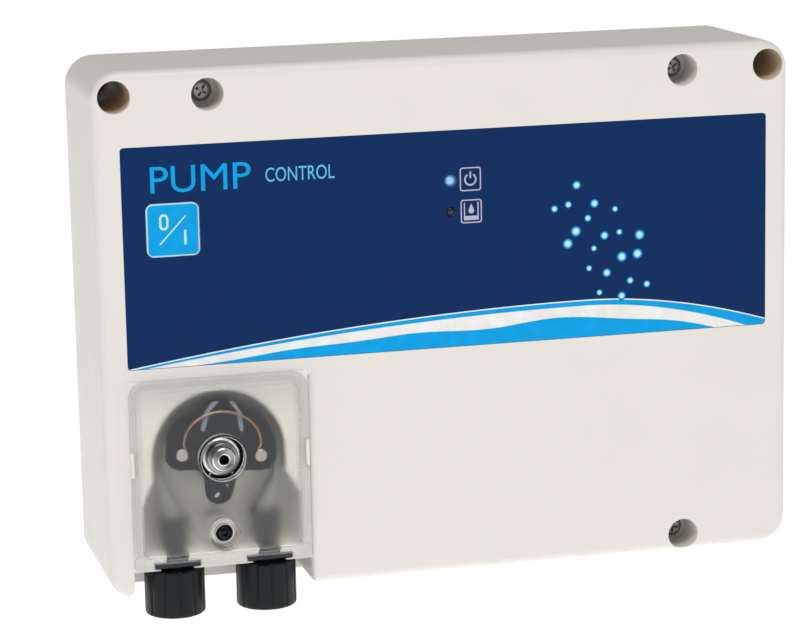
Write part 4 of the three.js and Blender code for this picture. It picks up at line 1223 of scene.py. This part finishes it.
def roller_holder():
    """Two plates on a hub. The front plate has raised lobes on a half disc that guards the tube."""
    step, front_back = PLATE_FRONT + 0.8, PLATE_FRONT + 1.7
    front = prism(lobes_outline(), round_edge(PLATE_FRONT, 0.35, 4) + [(0, front_back)])
    back = prism(lobes_outline(), [(0, PLATE_BACK - 1.5), (0, PLATE_BACK - 0.2), (0.2, PLATE_BACK)])
    half_disc = in_rotor(arc(0, 0, GUARD_R, 0, 180, 48) + [(-GUARD_R, -2), (GUARD_R, -2)])
    guard = prism(offsettable(half_disc), round_edge(step, 0.3, 3) + [(0, front_back)])
    hub = rod(HEAD_X, HEAD_Z, 6, PLATE_FRONT, PLATE_BACK)
    collar = rod(HEAD_X, HEAD_Z, 7.7, PLATE_FRONT + 0.25, front_back)
    arm = prism(lower_arm_outline(), round_edge(PLATE_FRONT, 0.35, 4) + [(0, ARM_BACK)])
    ahead, shaft_r, pin_r = PLATE_FRONT - 1, 3.15, 1.6
    cutters = [rod(HEAD_X, HEAD_Z, shaft_r, ahead, 0)]
    cutters += [rod(x, z, pin_r, ahead, 0, 28) for x, _, z in PINS.values()]
    mark = in_rotor(arc(-0.25, -12.3, 0.5, -45, 135, 8) + arc(-1.05, -13.05, 0.5, 135, 315, 8))
    dot = in_rotor(arc(2.6, -9.6, 0.4, 0, 345, 11))
    cutters += [plain_prism(offsettable(p), ahead, PLATE_FRONT + MARK_DEPTH) for p in (mark, dot)]
    groove = washer(6.3, 7.35, ahead, PLATE_FRONT + 0.7)
    cutters.append(turned(groove, "Y", HEAD_AXIS, 72))
    return cut(joined(front, back, guard, hub, collar, arm), *cutters, tip_slope())


def tip_slope():
    """The wedge cut off the upper arm's tip, so that it slopes away from the cover."""
    ahead = PLATE_FRONT - 1
    section = [(ahead, 15.4), (PLATE_FRONT, 15.4), (PLATE_FRONT + 0.7, 19.4), (ahead, 19.4)]
    loops = []
    for x in (-4.4, 4.4):
        corners = in_rotor([(x, z) for _, z in section])
        loops.append([(px, y, pz) for (px, pz), (y, _) in zip(corners, section)])
    return bridged(loops)


# Faces on the sloped tip of the upper arm, painted near black as shade.
def in_tip(x, y, z):
    return z > HEAD_Z + 15.3 and PLATE_FRONT + 0.02 < y < PLATE_FRONT + 0.75


def on_arm_side(x, y, z):
    """Whether a point is on the long sides of the lower arm, behind its front edge, which are painted light
    as a highlight.
    """
    return -14.5 < z - HEAD_Z < -5.5 and PLATE_FRONT + 0.4 < y < ARM_BACK - 0.1 and abs(x - HEAD_X) > 3.4


# Faces in the groove round the hub, painted near black as shade.
def in_groove(x, y, z):
    return 6.25 < from_head(x, z) < 7.4 and y > PLATE_FRONT + 0.05


# Faces on the floor of the mark, which take the light tone of the arm's painted highlight.
def in_mark(x, y, z):
    below = z < HEAD_Z - 8.5 and abs(x - HEAD_X) < 3.9
    return below and abs(y - PLATE_FRONT - MARK_DEPTH) < 0.01


def rotor_strips():
    """The two slopes beside the upper guide arm, painted light as highlights."""
    inner = [(5.85, 7.5), (4.95, 12.4), (4.35, 15.15), (1.75, 18.2)]
    outer = [(3.6, 17.9), (6.1, 14.6), (6.5, 12.3), (7.3, 7.5)]
    near, far, back = PLATE_FRONT + 0.12, PLATE_FRONT + 0.55, PLATE_FRONT + 1
    sloped = [near] * len(inner) + [far] * len(outer)
    strips = []
    for side in (-1, 1):
        points = in_rotor([(side * x, z) for x, z in inner + outer])
        slope = [(x, y, z) for (x, z), y in zip(points, sloped)]
        strips.append(bridged([slope, [(x, back, z) for x, z in points]]))
    return side_by_side(*strips)


def hub_nose():
    """The stepped nose round the shaft's end."""
    steps = [
        (0, 2.5), (1.6, 2.5), (1.6, 0.15), (1.75, 0), (2.0, 0), (2.15, 0.3), (3.35, 0.4), (3.45, 0.4),
        (3.8, 0.7), (3.8, 1.4), (4.2, 1.55), (4.9, 1.8), (5.2, 2.1), (5.2, 4.4), (5.55, 4.5), (5.8, 4.5),
        (6.2, 4.9),
    ]
    profile = [(r, NOSE_FRONT + depth) for r, depth in steps] + [(6.2, NOSE_BACK), (0, NOSE_BACK)]
    return turned(profile, "Y", HEAD_AXIS, 72)


# Faces in the hole in the nose, painted near black as shade.
def in_nose_hole(x, y, z):
    return from_head(x, z) < 1.7 and y > NOSE_FRONT + 0.1


# Faces on the step in the nose, painted darker as shade.
def in_nose_step(x, y, z):
    return 3.85 < from_head(x, z) < 4.3


def on_nose_edge(x, y, z):
    """Whether a point is on one of the nose's three rims, which are painted bright as highlights."""
    radius = from_head(x, z)
    return 1.7 < radius < 2.12 or 3.4 < radius < 3.85 or 5.5 < radius < 6.19


def spring_wire():
    """A round wire sprung in an arc over the hub, hooked behind both pins' heads."""
    y, radius = PLATE_FRONT - 0.6, 0.5
    half, middle, rise = 12.7, 4.5, 10.5
    turn = [(half * math.cos(a), middle + rise * math.sin(a)) for a in np.linspace(0, math.pi / 2, 24)]
    right = [(11.75, 2.6), (12.1, 3.05), (12.45, 3.65)] + turn
    line = in_rotor(right + [(-x, z) for x, z in reversed(right[:-1])])
    return swept(line, (0, y, 0), 12, lambda point, cosine, sine: (radius * cosine, radius * sine))


def roller_pin(side):
    """A pin with a low domed head in front of the plate."""
    x, _, z = PINS[side]
    front, back = span_mm(f"roller_pin_{side}")
    profile = softened([(0, front), (1.75, front + 0.03), (2.05, front + 0.3), (2.05, PLATE_FRONT - 0.05),
                        (1.5, PLATE_FRONT - 0.05), (1.5, back), (0, back)], 0.25)
    mesh = turned(profile, "Y", (x, 0, z), 40)
    piece(f"roller_pin_turned_{side}", mesh, pin_steel, "rotor", "steel_bright", f"roller_pin_{side}")


def roller(side):
    x, _, z = PINS[side]
    front, back = span_mm(f"roller_{side}")
    left, right = span_mm(f"roller_{side}", 0)
    outer = (right - left) / 2
    profile = [(1.6, front), (outer - 0.5, front), (outer, front + 0.5),
               (outer, back - 0.5), (outer - 0.5, back), (1.6, back)]
    mesh = turned(profile, "Y", (x, 0, z), 48)
    piece(f"roller_moulding_{side}", mesh, acetal, f"{side}_roller", "acetal_white", f"roller_{side}")


# The rotor: near black painted shade in its groove and on its tip, a light painted highlight on the lower
# arm's sides, and the same light tone in its mark.
piece("rotor_moulding", roller_holder(), slate, "rotor", "rotor_slate", "roller_holder",
      others=[(painted_shade_dark, in_groove), (painted_shade_dark, in_tip),
              (slate_highlight_and_mark, on_arm_side), (slate_highlight_and_mark, in_mark)])
piece("rotor_slopes", rotor_strips(), slate_highlight_strip, "rotor", "rotor_slate")
piece("hub_nose_turned", hub_nose(), nose_steel, "rotor", "steel_bright", "hub_nose", sharp=25,
      others=[(painted_shade_dark, in_nose_hole), (step_shade_steel, in_nose_step), (rim_highlight_steel, on_nose_edge)])
piece("spring_wire_drawn", spring_wire(), spring_bronze, "rotor", "spring_bronze", "spring_wire", sharp=60)
for side in PINS:
    roller_pin(side)
    roller(side)


# ---------- clear cover and its screw

DOME_FRONT = -59.3
DOME_WALL = 1.4


def pump_cover():
    """A thin clear shell: flat flange, rounded dome, thick lip below and bosses for the hub and the screw."""
    (low_x, _, low_z), (high_x, back, high_z) = box_mm("pump_cover")
    low_x, high_z = low_x - 0.5, high_z + 0.7
    flange_front, lip_front = -55.3, -56.4
    lip_top = HEAD_Z - 33.3
    flange_outline = rounded_rect(low_x, high_x, low_z, high_z, 5.3)
    flange = prism(flange_outline, round_edge(flange_front, 0.3, 3) + [(0, back)])
    lip_outline = rounded_rect(low_x, high_x, low_z, lip_top + 2, 1.5, 6)
    lip = prism(lip_outline, round_edge(lip_front, 0.5, 4) + [(0, back)])
    dome_outline = rounded_rect(HEAD_X - 28.8, HEAD_X + 27.5, lip_top, HEAD_Z + 25.4, 5)
    draft = 0.9
    slope = [(inset + draft, y) for inset, y in round_edge(DOME_FRONT, 1.1, 7)]
    slope += [(0, flange_front), (0, back)]
    raised = prism(dome_outline, slope)
    inner_slope = [(inset + draft + DOME_WALL, y) for inset, y in round_edge(DOME_FRONT + DOME_WALL, 0.5, 4)]
    inner_slope += [(DOME_WALL, flange_front + 0.2), (DOME_WALL, back + 1)]
    hollow = prism(dome_outline, inner_slope)
    bosses = [
        rod(HEAD_X, HEAD_Z, 7.9, DOME_FRONT + 0.3, DOME_FRONT + 3, 64),
        prism(circle(HEAD_X, COVER_SCREW_Z, 5.4), round_edge(DOME_FRONT - 0.2, 0.3, 3) + [(0, back)]),
    ]
    head_seat = DOME_FRONT + 3.7
    cutters = [
        prism(circle(HEAD_X, HEAD_Z, 7.2, 64), round_mouth(DOME_FRONT, 0.3, 3) + [(0, 0)]),
        prism(circle(HEAD_X, COVER_SCREW_Z, 3.5), round_mouth(DOME_FRONT - 0.2, 0.3, 3) + [(0, head_seat)]),
        rod(HEAD_X, COVER_SCREW_Z, 1.8, DOME_FRONT - 1, 0, 28),
    ]
    for x, _, _ in PORTS.values():
        room = rounded_rect(x - 7.7, x + 7.7, low_z - 2, HEAD_Z - 34.1, 0.2, 3)
        cutters.append(plain_prism(room, lip_front - 1, 0))
    for x in (HEAD_X - 28.85, HEAD_X + 28.85):
        gap = rounded_rect(x - 0.85, x + 0.85, HEAD_Z - 5.4, HEAD_Z + 3.6, 0.2, 3)
        cutters.append(plain_prism(gap, flange_front - 0.7, 0))
    return cut(joined(cut(joined(flange, lip, raised), hollow), *bosses), *cutters)


def inside_panel(x, y, z):
    """Whether a point is on the back of the cover's front panel."""
    return abs(y - DOME_FRONT - DOME_WALL) < 0.05


def on_panel(x, y, z):
    """Whether a point is on the front of the cover, or on one of its two bosses."""
    in_boss = from_head(x, z) < 8 or math.hypot(x - HEAD_X, z - COVER_SCREW_Z) < 5.5
    return y < DOME_FRONT + 0.1 or in_boss


# The rim's faces get the hazy clear plastic of its painted highlight.
def on_hub_rim(x, y, z):
    """Whether a point is on the rounded rim of the cover's opening for the hub."""
    return 7.15 < from_head(x, z) < 7.55 and y < DOME_FRONT + 0.35


cover = piece("cover_moulding", pump_cover(), clear_wall, "cover", "cover_clear", "pump_cover",
              others=[(clear, on_panel), (clear_textured, inside_panel), (clear_rim, on_hub_rim)])
for face in cover.data.polygons:
    face.use_smooth = face.area < 4 * MM * MM


def socket_screw():
    """The black screw with a domed head and a hexagon socket."""
    front, back = span_mm("cover_screw")
    profile = dome(2.5, 1, front, 9)
    profile += [(2.85, front + 1.1), (2.85, front + 2.1), (1.55, front + 2.1), (1.55, back), (0, back)]
    body = turned(profile, "Y", (HEAD_X, 0, COVER_SCREW_Z), 48)
    socket = circle(HEAD_X, COVER_SCREW_Z, 1.1, 6)
    return cut(body, plain_prism(socket, front - 1, front + 1.4))


piece("cover_screw_turned", socket_screw(), black_steel, "cover_fastener", "screw_black", "cover_screw",
      sharp=28)


# ---------- hose nuts and clamp rings

def fluted(x, y, radius, depth, z):
    """One level of a round wall with narrow grooves."""
    flutes, steps = 12, 14
    loop = []
    for i in range(flutes * steps):
        a = 2 * math.pi * (i + 0.5) / (flutes * steps)
        pitch = 2 * math.pi / flutes
        from_groove = abs((a + pitch / 2) % pitch - pitch / 2) * radius
        r = radius - depth * math.exp(-((from_groove / 0.36) ** 2)) + 0.16 * depth
        loop.append((x + r * math.cos(a), y + r * math.sin(a), z))
    return loop


def hose_nut(side):
    """A grooved union nut with a rounded foot, open below for the hose."""
    x, y, _ = PORTS[side]
    foot, top = span_mm(f"hose_nut_{side}", 2)
    r, groove, edge, steps = 9.8, 0.55, 0.9, 6
    levels = [(7.1, 0, top), (r - 0.5, groove * 0.6, top), (r - 0.12, groove, top - 0.25),
              (r, groove, top - 0.8), (r, groove, foot + 1.6)]
    for i in range(1, steps + 1):
        a = math.pi / 2 * i / steps
        depth = groove * (1 - 0.8 * i / steps)
        levels.append((r - edge * (1 - math.cos(a)), depth, foot + edge * (1 - math.sin(a))))
    levels += [(5.3, 0, foot), (4.85, 0, foot + 0.2), (4.7, 0, foot + 0.6), (4.7, 0, foot + 5.9),
               (7.1, 0, foot + 5.9)]
    mesh = bridged([fluted(x, y, radius, depth, z) for radius, depth, z in levels], closed=True)
    piece(f"hose_nut_moulding_{side}", mesh, nut_black, f"{side}_nut", "nut_black", f"hose_nut_{side}",
          sharp=40)


def clamp_ring(side):
    x, y, _ = PORTS[side]
    low, high = span_mm(f"clamp_ring_{side}", 2)
    profile = [(4.25, low + 0.1), (4.35, low), (6.6, low), (6.8, low + 0.2),
               (6.8, high - 0.2), (6.6, high), (5.4, high)]
    mesh = turned(profile, "Z", (x, y, 0), 56)
    piece(f"clamp_ring_moulding_{side}", mesh, acetal, f"{side}_ring", "acetal_white", f"clamp_ring_{side}")


for side in PORTS:
    hose_nut(side)
    clamp_ring(side)


# ---------- CAD nodes that stay, with their materials

CARRIED_OVER = {
    seal_rubber: ["housing_gasket"],
    moulded_black: ["tact_switch", "fuse_holder", "motor_relay", "smoothing_capacitor", "controller_chip"],
    board_green: ["control_board"],
    screw_steel: [f"board_screw_{i}" for i in (1, 2, 3, 4)] + ["base_screw_1", "base_screw_2"],
    core_dark: ["transformer"],
    acetal: ["mains_terminal", "sensor_terminal", "output_gear", "idler_gear"],
    pin_steel: ["fuse", "idler_axle", "drive_shaft"],
    bronze: ["shaft_bush"],
    sheet_steel: ["gearbox_case", "gearbox_lid", "motor_can"],
    magnet_dark: ["motor_rotor"],
    copper_winding: ["motor_coil"],
}
for material, names in CARRIED_OVER.items():
    for name in names:
        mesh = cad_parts[name].data
        mesh.materials.clear()
        mesh.materials.append(material)
